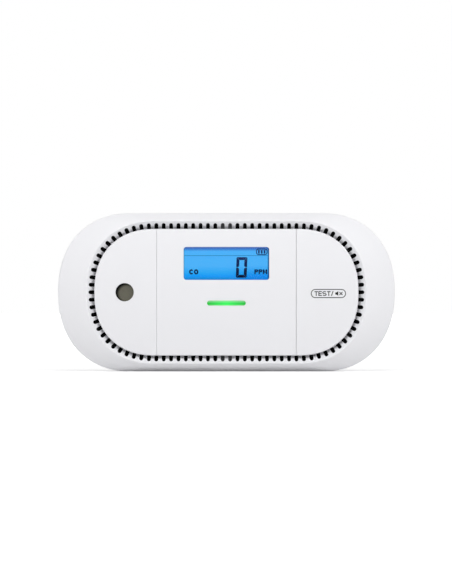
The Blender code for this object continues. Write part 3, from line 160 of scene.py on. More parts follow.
class CaseSizes(bpy.types.PropertyGroup):
    """Sizes of the front and rear covers."""

    case_length: length("Length", "Whole length of the case", CAD_SIZE[0] / MM)
    case_depth: length("Depth", "Whole depth of the case", CAD_SIZE[1] / MM)
    case_height: length("Height", "Whole height of the case", CAD_SIZE[2] / MM)
    case_cap: length("Case end", "Length of each rounded end of the case", 34.8)
    case_power: plain_number("Case power", "Superellipse power of the case's ends", 2.23)
    wall: length("Wall", "Thickness of the case wall", 2.2)
    rim_crest: length("Rim crest", "Depth of the rim's crest; minus is in front of the panels", -1.0)
    rim_fall: length("Rim fall", "How far the rim falls back to the side wall", 7.6)
    rim_power: plain_number("Rim power", "1 is a flat chamfer and 2 a quarter ellipse", 1.07)
    crest_round: length("Crest rounding", "Rounding between the rim and the channel", 0.2)
    side_round: length("Side rounding", "Rounding between the rim and the side wall", 0.9)
    channel_width: length("Channel width", "Width of the slotted channel round the panels", 3.7)
    channel_foot: length("Channel foot", "How far the channel runs in under the panels", 0.6)
    channel_skin: length("Channel skin", "Thickness of the channel wall under the crest", 2.2)
    channel_depth: length("Channel depth", "Depth of the channel's bottom, beside the panels", 4.9)
    gap_width: length("Gap width", "Width of the deep gap between the panels and the lands", 1.1)
    gap_draft: length("Gap draft", "How much narrower that gap is at its bottom", 0.4)
    land_depth: length("Land depth", "Depth of the lands' inner edge, beside that gap", 2.2)
    slot_pitch: length("Slot pitch", "Distance from slot to slot round the panels", 3.5)
    slot_line: length("Slot line", "Distance from the panels of the line that slots are spaced along", 0.7)
    slot_width: length("Slot width", "Width of a slot", 1.8)
    slot_tip: length("Slot tip", "Distance of a slot's round end from the panels", 2.8)
    slot_tuck: length("Slot tuck", "How far a slot runs in under the panels", 0.2)
    floor_front: length("Floor", "Depth of the floor that the panels stand on", 4.0)
    floor_back: length("Floor back", "Depth of the floor's back", 5.8)
    parting: length("Parting", "Depth of the line where the two covers meet", 26.0)
    parting_gap: length("Parting gap", "Gap between the two covers", 0.3)
    tongue: length("Tongue", "Height of the rear cover's tongue inside the front cover", 2.1)
    tongue_wall: length("Tongue wall", "Wall left outside that tongue", 1.1)
    rear_round: length("Rear rounding", "Rounding of the rear edge", 3.0)
    screw_x: length("Screw spread", "Distance of the case screws from the middle, lengthwise", 66.0)
    screw_z: length("Screw rise", "Distance of the case screws from the middle, upwards", 19.0)
    keyhole_x: length("Keyhole spread", "Distance of the keyholes from the middle", 50.0)
    keyhole_z: length("Keyhole rise", "Height of the keyholes' round ends above the middle", 13.0)
    keyhole_head: length("Keyhole head", "Radius of a keyhole's round end", 4.2)
    keyhole_neck: length("Keyhole neck", "Half the width of a keyhole's slot", 1.8)
    keyhole_run: length("Keyhole run", "Length of a keyhole's slot", 8.0)
    bay_z: length("Bay height", "Height of the battery bay's middle above the middle of the case", -10.0)
    bay_front: length("Bay front", "Depth of the battery bay's outer front", 15.0)
    pocket_front: length("Pocket front", "Depth of the battery pocket's front", 16.2)
    pocket_half_length: length("Pocket half length", "Half the length of the battery pocket", 20.5)
    pocket_half_height: length("Pocket half height", "Half the height of the battery pocket", 8.8)
    ledge: length("Ledge", "Width of the ledge that the battery door rests on", 1.0)
    door_front: length("Door front", "Depth of the battery door's inner face", 33.8)
    door_gap: length("Door gap", "Gap round the battery door", 0.3)
    door_axis_z: length("Door axis", "Height of the door's hinge above the middle of the case", -1.5)


class PanelSizes(bpy.types.PropertyGroup):
    """Sizes of the three front panels and what they carry."""

    half_length: length("Half length", "From the middle to the tip of the end panels", 62.6)
    half_height: length("Half height", "From the middle to the top of the panels", 30.0)
    cap: length("Panel end", "Length of each rounded end of the panels", 29.2)
    power: plain_number("Panel power", "Superellipse power of the panels' ends", 2.3)
    thick: length("Thickness", "Thickness of the panels", 2.0)
    edge: length("Edge", "Rounding of the outer edges", 0.5)
    seam: length("Seam", "Distance of the seams from the middle", 33.1)
    seam_gap: length("Seam gap", "Gap beside the test button", 0.09)
    fixed_gap: length("Fixed seam gap", "Gap between the two fixed panels", 0.025)
    seam_edge: length("Seam edge", "Rounding of the edges at a seam", 0.1)
    hole_edge: length("Hole edge", "Rounding of the edges of the openings", 0.2)
    rib_inset: length("Rib inset", "Distance of the rear rib from the panel's edge", 1.6)
    rib_thick: length("Rib thickness", "Thickness of the rear rib", 1.2)
    rib_height: length("Rib height", "Height of the ribs on the two fixed panels", 1.7)
    button_rib: length("Button rib", "Height of the test button's rib, which leaves room to press it", 0.7)
    window_half_length: length("Window half length", "Half the length of the display window", 20.28)
    window_half_height: length("Window half height", "Half the height of the display window", 7.79)
    window_z: length("Window height", "Height of the window's middle", 13.67)
    window_round: length("Window corner", "Corner radius of the window", 1.2)
    lens_front: length("Lens front", "Depth of the display lens", 1.3)
    lens_thick: length("Lens thickness", "Thickness of the display lens", 1.2)
    lens_margin: length("Lens margin", "How far the lens reaches behind the panel", 1.0)
    glass_front: length("Glass front", "Depth of the display glass", 2.8)
    bar_half_length: length("Lamp bar half length", "Half the length of the lamp bar", 9.2)
    bar_half_height: length("Lamp bar half height", "Half the height of the lamp bar", 1.2)
    bar_z: length("Lamp bar height", "Height of the lamp bar's middle", -5.15)
    horn_x: length("Horn place", "Place of the horn's hole along the case", -48.25)
    horn_radius: length("Horn hole", "Radius of the horn's hole", 4.31)
    label_x: length("Label place", "Place of the printed label along the button", 48.35)
    label_z: length("Label height", "Height of the printed label", -0.6)
    label_half_length: length("Label half length", "Half the length of the label's border", 8.35)
    label_half_height: length("Label half height", "Half the height of the label's border", 2.15)
    print_line: length("Print line", "Width of a printed line", 0.42)
    print_thick: length("Print thickness", "How far print stands proud", 0.02)
    hinge_x: length("Hinge place", "Place of the button's hinge along the case", 35.7)
    hinge_depth: length("Hinge depth", "Depth of the button's hinge", 7.5)


class AlarmColours(bpy.types.PropertyGroup):
    """Colours of the alarm."""

    white: colour("Case white", "White plastic of the covers", "efeff2")
    panel: colour("Panel white", "White plastic of the panels and the button", "ebebee")
    print_grey: colour("Print grey", "Grey print on the button", "444547")
    print_black: colour("Print black", "Black print on the button", "050506")
    display_shade: colour("Display shade", "Top edge of the lit display, in its frame's shade", "4a6fae")
    display_top: colour("Display top", "Upper part of the lit display", "3e74cc")
    display_middle: colour("Display middle", "Middle of the lit display", "4ab2f9")
    display_low: colour("Display low", "Lower part of the lit display", "22a5f4")
    display_bottom: colour("Display bottom", "Foot of the lit display", "0898f6")
    # The lower edge's colour is painted shade of the window's frame.
    display_edge_shade: colour("Display edge", "Lower edge of the lit display", "0f84d4")
    display_deep: colour("Display deep", "Lower right corner of the lit display", "0078e4")
    display_ink: colour("Display ink", "Dark segments at the foot of the display", "000428")
    display_ink_high: colour("Display ink high", "Dark segments at the top of the display", "1c2f62")
    display_faint: colour("Display faint", "Faint line across the display", "2e86c4")
    lamp_middle: colour("Lamp middle", "Middle of the lit lamp bar", "2cee54")
    lamp_end: colour("Lamp end", "Ends of the lit lamp bar", "0ca21c")
    gauze: colour("Gauze", "Woven gauze over the horn", "787669")


def case_sizes():
    """The sizes that are set for the covers."""
    return bpy.context.scene.alarm_case


def panel_sizes():
    """The sizes that are set for the panels."""
    return bpy.context.scene.alarm_panel


def colour_of(name):
    """The colour that is set under a name."""
    return tuple(getattr(bpy.context.scene.alarm_colours, name))


# Outlines


def placed(x, depth, z):
    """Points of the frame from x, depth and z arrays of shapes that fit together."""
    case = case_sizes()
    x, depth, z = np.broadcast_arrays(x, depth, z)
    return np.stack([x, depth - case.case_depth / 2, z + case.case_height / 2], axis=-1)


def level(depth):
    """Places x and z arrays at one depth."""
    return lambda x, z: placed(x, depth, z)


def pill(way, half_length, half_height, cap, power, offset):
    """x and z on a closed outline with a straight top and bottom and superellipse ends.

    way goes clockwise from the middle of the top and counts two for each quarter: one along the straight
    part, one round the end. There x = half_length - cap + cap cos(t)^(2/power) and z = half_height
    sin(t)^(2/power), and both are moved by offset along the outline's normal.
    """
    quarter = np.floor(way / 2) % 4
    within = np.where(quarter % 2 == 1, 2 - way % 2, way % 2)
    turn = (2 - np.clip(within, 1, 2)) * np.pi / 2
    across = np.clip(np.cos(turn), 0, 1)
    up = np.sin(turn)
    normal_x = across ** (2 - 2 / power) / cap
    normal_z = up ** (2 - 2 / power) / half_height
    reach = offset / np.hypot(normal_x, normal_z)
    x = np.clip(within, 0, 1) * (half_length - cap) + cap * across ** (2 / power) + reach * normal_x
    z = half_height * up ** (2 / power) + reach * normal_z
    return np.where(quarter < 2, x, -x), np.where((quarter == 0) | (quarter == 3), z, -z)


def case_outline(way, offset=0.0):
    """x and z on the outline of the case, moved outwards by offset."""
    case = case_sizes()
    return pill(way, case.case_length / 2, case.case_height / 2, case.case_cap, case.case_power, offset)


def panel_outline(way, offset=0.0):
    """x and z on the outline round the three panels, moved outwards by offset."""
    panel = panel_sizes()
    return pill(way, panel.half_length, panel.half_height, panel.cap, panel.power, offset)


def even_ways(outline, share):
    """The ways at which the given shares of an outline's whole length lie, and that length."""
    ways = np.linspace(0, 8, PATH_STEPS + 1)
    x, z = outline(ways)
    run = np.concatenate([[0.0], np.cumsum(np.hypot(np.diff(x), np.diff(z)))])
    return np.interp(share * run[-1], run, ways), run[-1]


def arc(x, z, radius_x, radius_z, start, end, steps=16):
    """Points along an ellipse from one angle to another, in degrees."""
    turn = np.radians(np.linspace(start, end, steps + 1))
    return np.stack([x + radius_x * np.cos(turn), z + radius_z * np.sin(turn)], axis=-1)


def circle(x, z, radius, steps=ROUND_STEPS):
    """Points evenly round a circle."""
    return arc(x, z, radius, radius, 0, 360, steps)[:-1]


def box(x, z, half_length, half_height):
    """A rectangle about a middle, from its lower left corner towards the right."""
    return np.array([[-1, -1], [1, -1], [1, 1], [-1, 1]]) * (half_length, half_height) + (x, z)


def rounded_box(x, z, half_length, half_height, radius, steps=6):
    """A rectangle whose corners are quarter circles, drawn as one circle that is pulled apart."""
    turn = (np.arange(4)[:, None] + np.linspace(0, 1, steps + 1)) * np.pi / 2
    side_x = np.array([1, -1, -1, 1])[:, None]
    side_z = np.array([1, 1, -1, -1])[:, None]
    across = x + side_x * (half_length - radius) + radius * np.cos(turn)
    up = z + side_z * (half_height - radius) + radius * np.sin(turn)
    return np.stack([across.ravel(), up.ravel()], axis=-1)


def turn_flat(points, turn):
    """Points turned about the middle of the case, towards z from x."""
    spin = np.array([[math.cos(turn), math.sin(turn)], [-math.sin(turn), math.cos(turn)]])
    return points @ spin


def cross_loop(x, z, reach, half, turn):
    """A turned cross of two equal bars, given by half their length and half their width."""
    corner = np.array([[half, half], [reach, half], [reach, -half]])
    bars = np.concatenate([turn_flat(corner, -quarter * math.pi / 2) for quarter in range(4)])
    return turn_flat(bars, turn) + (x, z)


def window_loop(margin):
    """The display window, a box with round corners, with a margin all round."""
    panel = panel_sizes()
    half_length = panel.window_half_length + margin
    half_height = panel.window_half_height + margin
    return rounded_box(0, panel.window_z, half_length, half_height, panel.window_round + margin)


def bar_loop(margin):
    """The lamp bar, a box with half-round ends, with a margin all round."""
    panel = panel_sizes()
    half_height = panel.bar_half_height + margin
    return rounded_box(0, panel.bar_z, panel.bar_half_length + margin, half_height, half_height, 8)


def horn_loop(margin):
    """The round hole in front of the horn, with a margin."""
    panel = panel_sizes()
    return circle(panel.horn_x, 0, panel.horn_radius + margin)


def middle_panel_loop(inset, seam_inset):
    """The display panel, a box from seam to seam, inset at its edges and at the seams."""
    panel = panel_sizes()
    return box(0, 0, panel.seam - panel.seam_gap / 2 - seam_inset, panel.half_height - inset)


def end_panel_loop(gap, inset, seam_inset):
    """An end panel: square at the seam, which is gap away from the display panel, and rounded like the
    outline of the panels at its tip."""
    panel = panel_sizes()
    seam = panel.seam - panel.seam_gap / 2 + gap + seam_inset
    ways = np.linspace(0, 2, PATH_STEPS + 1)
    start = np.interp(seam, panel_outline(ways, -inset)[0], ways)
    bend = max(start, 1) + TIP_START
    way = np.concatenate([[start], np.linspace(bend, 4 - bend, TIP_POINTS), [4 - start]])
    return np.stack(panel_outline(way, -inset), axis=-1)


def right_panel_loop(inset, seam_inset):
    """The test button."""
    return end_panel_loop(panel_sizes().seam_gap, inset, seam_inset)


def left_panel_loop(inset, seam_inset):
    """The horn panel, mirrored to the left."""
    return end_panel_loop(panel_sizes().fixed_gap, inset, seam_inset) * (-1, 1)


def keyhole_loop(x, z):
    """A round hole for a screw's head, with a narrower slot that runs up from it to a round end."""
    case = case_sizes()
    head = case.keyhole_head
    neck = case.keyhole_neck
    meet = math.degrees(math.asin(neck / head))
    hole = arc(x, z, head, head, 90 + meet, 450 - meet, ROUND_STEPS - 1)
    end = arc(x, z + case.keyhole_run, neck, neck, 0, 180, ROUND_STEPS // 2 - 1)
    return np.concatenate([hole, end])


def keyhole_pocket(x, z, margin):
    """The outline of the room behind a keyhole for a screw's head."""
    case = case_sizes()
    reach = case.keyhole_head + margin
    return box(x, z + case.keyhole_run / 2, reach, reach + case.keyhole_run / 2)


def bay_loop(margin):
    """The pocket of the battery, a box, with a margin all round."""
    case = case_sizes()
    return box(0, case.bay_z, case.pocket_half_length + margin, case.pocket_half_height + margin)


def recess_loop(radius, bulge):
    """The rim of the battery recess, with a finger notch of the given radius at its foot.

    bulge is 1 for a half-round notch and 0 for a straight foot with as many points.
    """
    corners = bay_loop(case_sizes().ledge)
    notch = arc(0, corners[0, 1], radius, bulge * radius, 180, 360, ROUND_STEPS // 2)
    return np.concatenate([corners[:1], notch, corners[1:]])


def middle_pegs():
    """Places of the display panel's four pegs."""
    seam_inset, rise = mm(4.1, 18)
    x = panel_sizes().seam - seam_inset
    return [(side * x, up * rise) for side in (-1, 1) for up in (-1, 1)]


def horn_pegs():
    """Places of the horn panel's two pegs."""
    seam_inset, rise = mm(6.9, 21)
    x = -panel_sizes().seam - seam_inset
    return [(x, up * rise) for up in (-1, 1)]


def case_screws():
    """Places of the four case screws."""
    case = case_sizes()
    return [(side * case.screw_x, up * case.screw_z) for up in (1, -1) for side in (-1, 1)]


def board_screws():
    """Places of the three board screws."""
    left, right, rise = mm(-27, 46.5, 23)
    return [(left, -rise), (right, -rise), (right, rise)]


# Surfaces


class Skin:
    """Grids and filled loops that close one piece between them."""

    def __init__(self):
        self.points = []
        self.faces = []
        self.smooth = []
        self.count = 0

    def take(self, points, faces, smooth=True):
        """Points and faces that number them; smooth faces shade over into their neighbours."""
        self.points.append(points.reshape(-1, 3))
        self.faces += (faces + self.count).tolist()
        self.smooth += [smooth] * len(faces)
        self.count += len(self.points[-1])

    def grid(self, points, kept=None):
        """Faces between neighbouring rows and columns of points, where the last column meets the first;
        kept tells which columns get them."""
        rows, columns = points.shape[:2]
        numbers = np.arange(rows * columns).reshape(rows, columns)
        numbers = np.concatenate([numbers, numbers[:, :1]], axis=1)
        corners = (numbers[:-1, :-1], numbers[:-1, 1:], numbers[1:, 1:], numbers[1:, :-1])
        faces = np.stack(corners, axis=-1)
        if kept is not None:
            faces = faces[:, kept]
        self.take(points, faces.reshape(-1, 4))

    def loft(self, *loops):
        """Faces between loops of equal length, each given as an outline and its depth."""
        self.grid(np.stack([placed(loop[:, 0], depth, loop[:, 1]) for loop, depth in loops]))

    def cap(self, points):
        """One face with the given points as its corners."""
        self.take(points, np.arange(len(points))[None], smooth=False)

    def fill(self, put, *loops):
        """Triangles inside the first loop and outside the others; put places flat points in the frame."""
        ends = np.cumsum([len(loop) for loop in loops]).tolist()
        rings = [list(range(end - len(loop), end)) for loop, end in zip(loops, ends)]
        corners = np.concatenate(loops).tolist()
        made = delaunay_2d_cdt(corners, [], rings, INSIDE_WITH_HOLES, 0.1 * WELD)
        x, z = np.array(made[0]).T
        self.take(put(x, z), np.array(made[2]), smooth=False)

    def solid(self, *rows):
        """A loft that is closed by a flat face at each end."""
        self.loft(*rows)
        for loop, depth in (rows[0], rows[-1]):
            self.fill(level(depth), loop)

    def slab(self, front, back, *loops):
        """A flat plate between two depths, inside the first loop and outside the others."""
        self.fill(level(front), *loops)
        self.fill(level(back), *loops)
        for loop in loops:
            self.loft((loop, front), (loop, back))

    def turned(self, x, z, profile, steps=ROUND_STEPS):
        """A profile of depths and radii turned about a line along the depth; it ends on that line."""
        depth, radius = np.array(profile).T[:, :, None]
        turn = np.linspace(0, 2 * np.pi, steps, endpoint=False)
        self.grid(placed(x + radius * np.cos(turn), depth, z + radius * np.sin(turn)))

    def turned_along_x(self, depth, z, profile, steps=ROUND_STEPS):
        """A profile of x and radius turned about a line along x; it ends on that line."""
        x, radius = np.array(profile).T[:, :, None]
        turn = np.linspace(0, 2 * np.pi, steps, endpoint=False)
        self.grid(placed(x, depth + radius * np.cos(turn), z + radius * np.sin(turn)))

    def swept(self, rings):
        """Like rings of points joined by faces and closed at both ends."""
        self.grid(np.stack(rings))
        self.cap(rings[0])
        self.cap(rings[-1])

    def piece(self, name, finish, body, slot, *nodes):
        """Make the piece: weld its seams, turn its faces outwards, and let it ride on a body."""
        data = bpy.data.meshes.new(name)
        data.from_pydata(np.concatenate(self.points).tolist(), [], self.faces)
        data.polygons.foreach_set("use_smooth", self.smooth)
        work = bmesh.new()
        work.from_mesh(data)
        bmesh.ops.remove_doubles(work, verts=work.verts, dist=WELD)
        bmesh.ops.recalc_face_normals(work, faces=work.faces)
        smooth = [face.smooth for face in work.faces]
        work.to_mesh(data)
        work.free()
        data.set_sharp_from_angle(angle=SHARP)
        # Flat faces stay flat, whatever the angle.
        data.polygons.foreach_set("use_smooth", smooth)
        data.materials.append(finish)
        made = bpy.data.objects.new(name, data)
        bpy.context.scene.collection.objects.link(made)
        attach(made, body)
        if nodes:
            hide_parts(*nodes)


def quarter_round(steps=EDGE_STEPS):
    """Inset and fall over a rounded edge, as shares of its radius, from the face out to the side."""
    turn = np.linspace(0, np.pi / 2, steps + 1)
    return list(zip((1 - np.sin(turn)).tolist(), (1 - np.cos(turn)).tolist()))


# Front cover


def channel_columns():
    """Ways of the grid columns round the channel, how far each lies into a slot's round tip, and which
    columns start an open slot face. Every slot and the land beside it take an equal step of a line round
    the panels."""
    case = case_sizes()

    def line(ways):
        return panel_outline(ways, case.slot_line)

    run = even_ways(line, np.zeros(1))[1]
    count = 2 * round(run / case.slot_pitch / 2)
    half = case.slot_width / 2 * count / run
    across = -np.cos(np.linspace(0, np.pi, SLOT_COLUMNS + 1))
    left = np.linspace(0, 0.5 - half, LAND_COLUMNS + 1)[:-1]
    right = np.linspace(0.5 + half, 1, LAND_COLUMNS + 1)[1:-1]
    steps = np.concatenate([left, 0.5 + half * across, right])
    tip = np.zeros(len(steps))
    tip[LAND_COLUMNS : LAND_COLUMNS + SLOT_COLUMNS + 1] = np.sqrt(np.clip(1 - across**2, 0, 1))
    opened = np.zeros(len(steps), bool)
    opened[LAND_COLUMNS : LAND_COLUMNS + SLOT_COLUMNS] = True
    ways = even_ways(line, ((np.arange(count)[:, None] + steps) / count).ravel())[0]
    return ways, np.tile(tip, count), np.tile(opened, count)


def channel_rows(ways, tip, section, crest_offset):
    """One side of the channel wall: rows from the slot tips to the crest, along the lands, and at the foot.

    section lists (offset, depth) from the foot to the crest. The wall runs straight from one to the next,
    and level from the first in under the panels. A slot's tip is a half circle, so the band above it
    starts on that circle.
    """
    case = case_sizes()
    offsets, depths = np.transpose(section)

    def points(offset):
        x, z = panel_outline(ways, offset)
        return placed(x, np.interp(offset, offsets, depths), z)

    def even_rows(*row_offsets):
        return points(np.array(row_offsets)[:, None] * np.ones(len(ways)))

    radius = case.slot_width / 2
    straight = case.slot_tip - radius
    low = straight + radius * tip
    band = points(low + (crest_offset - low) * np.linspace(0, 1, 5)[:, None])
    lands = even_rows(-case.slot_tuck, case.gap_width - case.gap_draft, case.gap_width, straight)
    inner = even_rows(-case.channel_foot, -case.slot_tuck)
    return band, lands, inner


def add_slot_walls(skin, front, back, opened):
    """Faces that join the front and back of the channel wall round every slot."""
    skin.grid(np.stack([front[0][0], back[0][0]]), kept=opened)
    skin.grid(np.stack([front[2][1], back[2][1]]), kept=opened)
    sides = opened != np.roll(opened, 1)
    rows = front[1].shape[0]
    strips = [lands[:, sides].swapaxes(0, 1).reshape(-1, 3) for lands in (front[1], back[1])]
    inside = np.arange(len(strips[0])) % rows < rows - 1
    skin.grid(np.stack(strips), kept=inside)


def dome(share, power):
    """Fall of the rim, as a share of its whole fall, at a share of its width from the crest: a quarter of a
    superellipse of the given power."""
    return 1 - (1 - np.clip(share, 0, 1) ** power) ** (1 / power)


def rim_points(ways, share, outer_offset, crest_depth, wall_depth):
    """Points over the domed rim between the channel's outer edge and the case outline."""
    case = case_sizes()
    crest = np.stack(panel_outline(ways, case.channel_width))
    outer = np.stack(case_outline(ways, outer_offset))
    x, z = crest[:, None] + (outer - crest)[:, None] * share
    return placed(x, crest_depth + (wall_depth - crest_depth) * dome(share, case.rim_power), z)


def rounded_rows(start, corner, end):
    """Rows that round off a corner: a curve from start to end that is drawn towards the corner."""
    bend = np.linspace(0, 1, EDGE_STEPS)[:, None, None]
    return (1 - bend) ** 2 * start + 2 * bend * (1 - bend) * corner + bend**2 * end


def case_ring(ways, offset, depth):
    """One row of points along the case outline, at one depth."""
    x, z = case_outline(ways, offset)
    return placed(x, depth, z)[None]


def outer_rows(ways, channel_edge, crest_back):
    """Rows from the channel's edge over the rim, down the side wall to the parting, and back up inside."""
    case = case_sizes()
    crest = np.stack(panel_outline(ways, case.channel_width))
    across = np.hypot(*(np.stack(case_outline(ways)) - crest))
    begin = case.crest_round / across
    end = 1 - case.side_round / 2 / across
    wall_front = case.rim_crest + case.rim_fall
    swell = np.sin(np.linspace(0, np.pi / 2, RIM_ROWS + 1))[:, None]
    rim = rim_points(ways, begin + (end - begin) * swell, 0.0, case.rim_crest, wall_front)
    inner_round = rounded_rows(channel_edge, placed(crest[0], case.rim_crest, crest[1]), rim[0])
    side = case_ring(ways, 0.0, wall_front + case.side_round)
    outer_round = rounded_rows(rim[-1], case_ring(ways, 0.0, wall_front)[0], side[0])
    lip = [
        case_ring(ways, SOFT * (inset - 1), case.parting + SOFT * (fall - 1))
        for inset, fall in quarter_round()
    ]
    rebate = case.parting - case.tongue - case.parting_gap
    inside = np.sin(np.linspace(0, np.pi / 2, RIM_ROWS // 2 + 1))[::-1, None] * np.ones(len(ways))
    return [
        inner_round[:-1],
        rim[:-1],
        outer_round,
        case_ring(ways, 0.0, (wall_front + case.parting) / 2),
        *lip,
        case_ring(ways, -case.tongue_wall, case.parting),
        case_ring(ways, -case.tongue_wall, rebate),
        case_ring(ways, -case.wall, rebate),
        rim_points(ways, inside, -case.wall, crest_back, wall_front + case.wall / 2),
    ]


def floor_holes():
    """Openings of the floor under the panels: outlines of what passes through it, with room round them."""
    panel = panel_sizes()
    display_z, display_half_length, display_half_height = mm(12.5, 22.35, 10.75)
    bar_room, boss_room, lug_room, catch_shift, catch_half_length = mm(0.45, 1.5, 0.5, -0.75, 1.25)
    display = box(0, display_z, display_half_length, display_half_height)
    boss = circle(BOSS_X, panel.label_z, BOSS_RADIUS + boss_room)
    pegs = [circle(x, z, PEG_RADIUS + PASS, steps=16) for x, z in middle_pegs() + horn_pegs()]
    lugs = [box(panel.hinge_x, z, LUG_HALF + lug_room, LUG_HALF + PASS) for z in (-LUG_Z, LUG_Z)]
    catch_x = panel.half_length - CATCH_INSET + catch_shift
    catch = box(catch_x, 0, catch_half_length, CATCH_HALF + PASS)
    return [display, bar_loop(bar_room), horn_loop(PASS), boss, *pegs, *lugs, catch]


def add_panel_floor(skin, ways):
    """The floor that the panels stand on, inside the channel's foot."""
    case = case_sizes()
    foot = np.stack(panel_outline(ways, -case.channel_foot), axis=-1)
    holes = floor_holes()
    skin.loft((foot, case.channel_depth), (foot, case.floor_front))
    skin.fill(level(case.floor_front), foot, *holes)
    skin.fill(level(case.floor_back), foot, *holes)
    for hole in holes:
        skin.loft((hole, case.floor_front), (hole, case.floor_back))


def add_post(skin, place, root, end, radius, bottom, bore):
    """A round post from root to end, with a hole of radius bore down to bottom for a screw."""
    profile = [(root, 0), (root, radius), (end, radius), (end, bore), (bottom, bore), (bottom, 0)]
    skin.turned(*place, profile, steps=24)


def add_posts(skin):
    """Screw posts on the back of the floor and the rim."""
    case = case_sizes()
    root = case.floor_back - ROOT
    end, radius, bottom, bore = mm(11.7, 2.3, 6.9, 1.35)
    for place in board_screws():
        add_post(skin, place, root, end, radius, bottom, bore)
    behind_crest, from_back, radius, bottom, bore = mm(2.0, 12.3, 2.9, 14.2, 1.65)
    root = case.rim_crest + case.channel_skin + behind_crest
    end = case.case_depth - from_back
    for place in case_screws():
        add_post(skin, place, root, end, radius, bottom, bore)


def add_bearings(skin):
    """Two blocks beside each hinge lug, with a round seat for its pin that is open to the back."""
    case = case_sizes()
    panel = panel_sizes()
    seat, mouth, half, wall = mm(1.15, 0.7, 2.4, 2.0)
    open_turn = math.asin(mouth / seat)
    turn = np.linspace(open_turn, 2 * np.pi - open_turn, 20)
    front = case.floor_back - ROOT
    tail = panel.hinge_depth + wall
    x = panel.hinge_x + np.array([-half, half, half, mouth, *(seat * np.sin(turn)), -mouth, -half])
    depth = np.array([front, front, tail, tail, *(panel.hinge_depth + seat * np.cos(turn)), tail, tail])
    for lug in (-LUG_Z, LUG_Z):
        for near, far in (mm(-4.2, -1.8), mm(1.8, 4.2)):
            skin.swept([placed(x, depth, lug + z) for z in (near, far)])


def front_cover_skin():
    """The front cover: a slotted channel wall, a domed rim, the side wall and the floor."""
    case = case_sizes()
    ways, tip, opened = channel_columns()
    skin = Skin()
    crest_back = case.rim_crest + case.channel_skin
    gap = [(case.gap_width - case.gap_draft, case.channel_depth), (case.gap_width, case.land_depth)]
    facing = gap + [(case.channel_width, case.rim_crest)]
    behind = [(-case.channel_foot, case.floor_back), (case.channel_width, crest_back)]
    front = channel_rows(ways, tip, facing, case.channel_width - case.crest_round)
    back = channel_rows(ways, tip, behind, case.channel_width)
    for band, lands, inner in (front, back):
        skin.grid(band)
        skin.grid(lands, kept=~opened)
        skin.grid(inner)
    add_slot_walls(skin, front, back, opened)
    skin.grid(np.concatenate(outer_rows(ways, front[0][-1], crest_back)))
    add_panel_floor(skin, ways)
    add_posts(skin)
    add_bearings(skin)
    return skin


# Panels


def panel_skin(loop_of, rib_height, holes):
    """A panel: a flat face with rounded edges, openings through it and a rib round its back.

    loop_of gives the outline for an inset and an inset at the seam. Each hole is a function of a margin
    and the rows of (margin, depth) that follow its rounded edge.
    """
    panel = panel_sizes()
    skin = Skin()
    edge = panel.edge
    seam = panel.seam_edge
    rows = [(loop_of(edge * inset, seam * inset), edge * fall) for inset, fall in quarter_round()]
    outer = panel.rib_inset
    inner = panel.rib_inset + panel.rib_thick
    rib = panel.thick + rib_height
    back = [(0, panel.thick), (outer, panel.thick), (outer, rib), (inner, rib), (inner, panel.thick)]
    rows += [(loop_of(inset, inset), depth) for inset, depth in back]
    skin.loft(*rows)
    front_loops = [rows[0][0]]
    back_loops = [rows[-1][0]]
    for hole, steps in holes:
        rows = [(panel.hole_edge * inset, panel.hole_edge * fall) for inset, fall in quarter_round(3)]
        loops = [(hole(margin), depth) for margin, depth in rows + steps]
        skin.loft(*loops)
        front_loops.append(loops[0][0])
        back_loops.append(loops[-1][0])
    skin.fill(level(0.0), *front_loops)
    skin.fill(level(panel.thick), *back_loops)
    return skin


def add_pegs(skin, places):
    """Round pegs with a chamfered tip on the back of a panel."""
    root = panel_sizes().thick - ROOT
    shoulder, tip_radius, tip = mm(7.2, 1.1, 7.5)
    for x, z in places:
        profile = [(root, 0), (root, PEG_RADIUS), (shoulder, PEG_RADIUS), (tip, tip_radius), (tip, 0)]
        skin.turned(x, z, profile, steps=16)


def add_button_back(skin):
    """Hinge lugs with their pins, the boss over the switch and the catch at the outer end."""
    panel = panel_sizes()
    root = panel.thick - ROOT
    tail, pin, pin_reach = mm(1.2, 0.9, 3.9)
    turn = np.linspace(0, 2 * np.pi, 24, endpoint=False)
    x = panel.hinge_x + pin * np.cos(turn)
    depth = panel.hinge_depth + pin * np.sin(turn)
    for z in (-LUG_Z, LUG_Z):
        lug = rounded_box(panel.hinge_x, z, LUG_HALF, LUG_HALF, SOFT, steps=3)
        skin.slab(root, panel.hinge_depth + tail, lug)
        skin.swept([placed(x, depth, z - pin_reach), placed(x, depth, z + pin_reach)])
    shoulder, tip_radius, tip = mm(6.1, 2.3, 6.3)
    boss = [(root, 0), (root, BOSS_RADIUS), (shoulder, BOSS_RADIUS), (tip, tip_radius), (tip, 0)]
    skin.turned(BOSS_X, panel.label_z, boss, steps=32)
    stem, barb, barb_height = mm(1.5, 1.2, 1.3)
    seat = case_sizes().floor_back + PASS
    tip = seat + barb_height
    x = panel.half_length - CATCH_INSET + np.array([-stem, -stem, 0, 0, barb, 0])
    depth = np.array([tip, root, root, seat, seat, tip])
    skin.swept([placed(x, depth, z) for z in (-CATCH_HALF, CATCH_HALF)])


# Flat marks


def stroke_loop(path, stroke):
    """A line of even width along a path: its right side, then its left side backwards."""
    along = np.gradient(path, axis=0)
    side = np.stack([along[:, 1], -along[:, 0]], axis=-1) * stroke / 2 / np.hypot(*along.T)[:, None]
    return np.concatenate([path + side, (path - side)[::-1]])


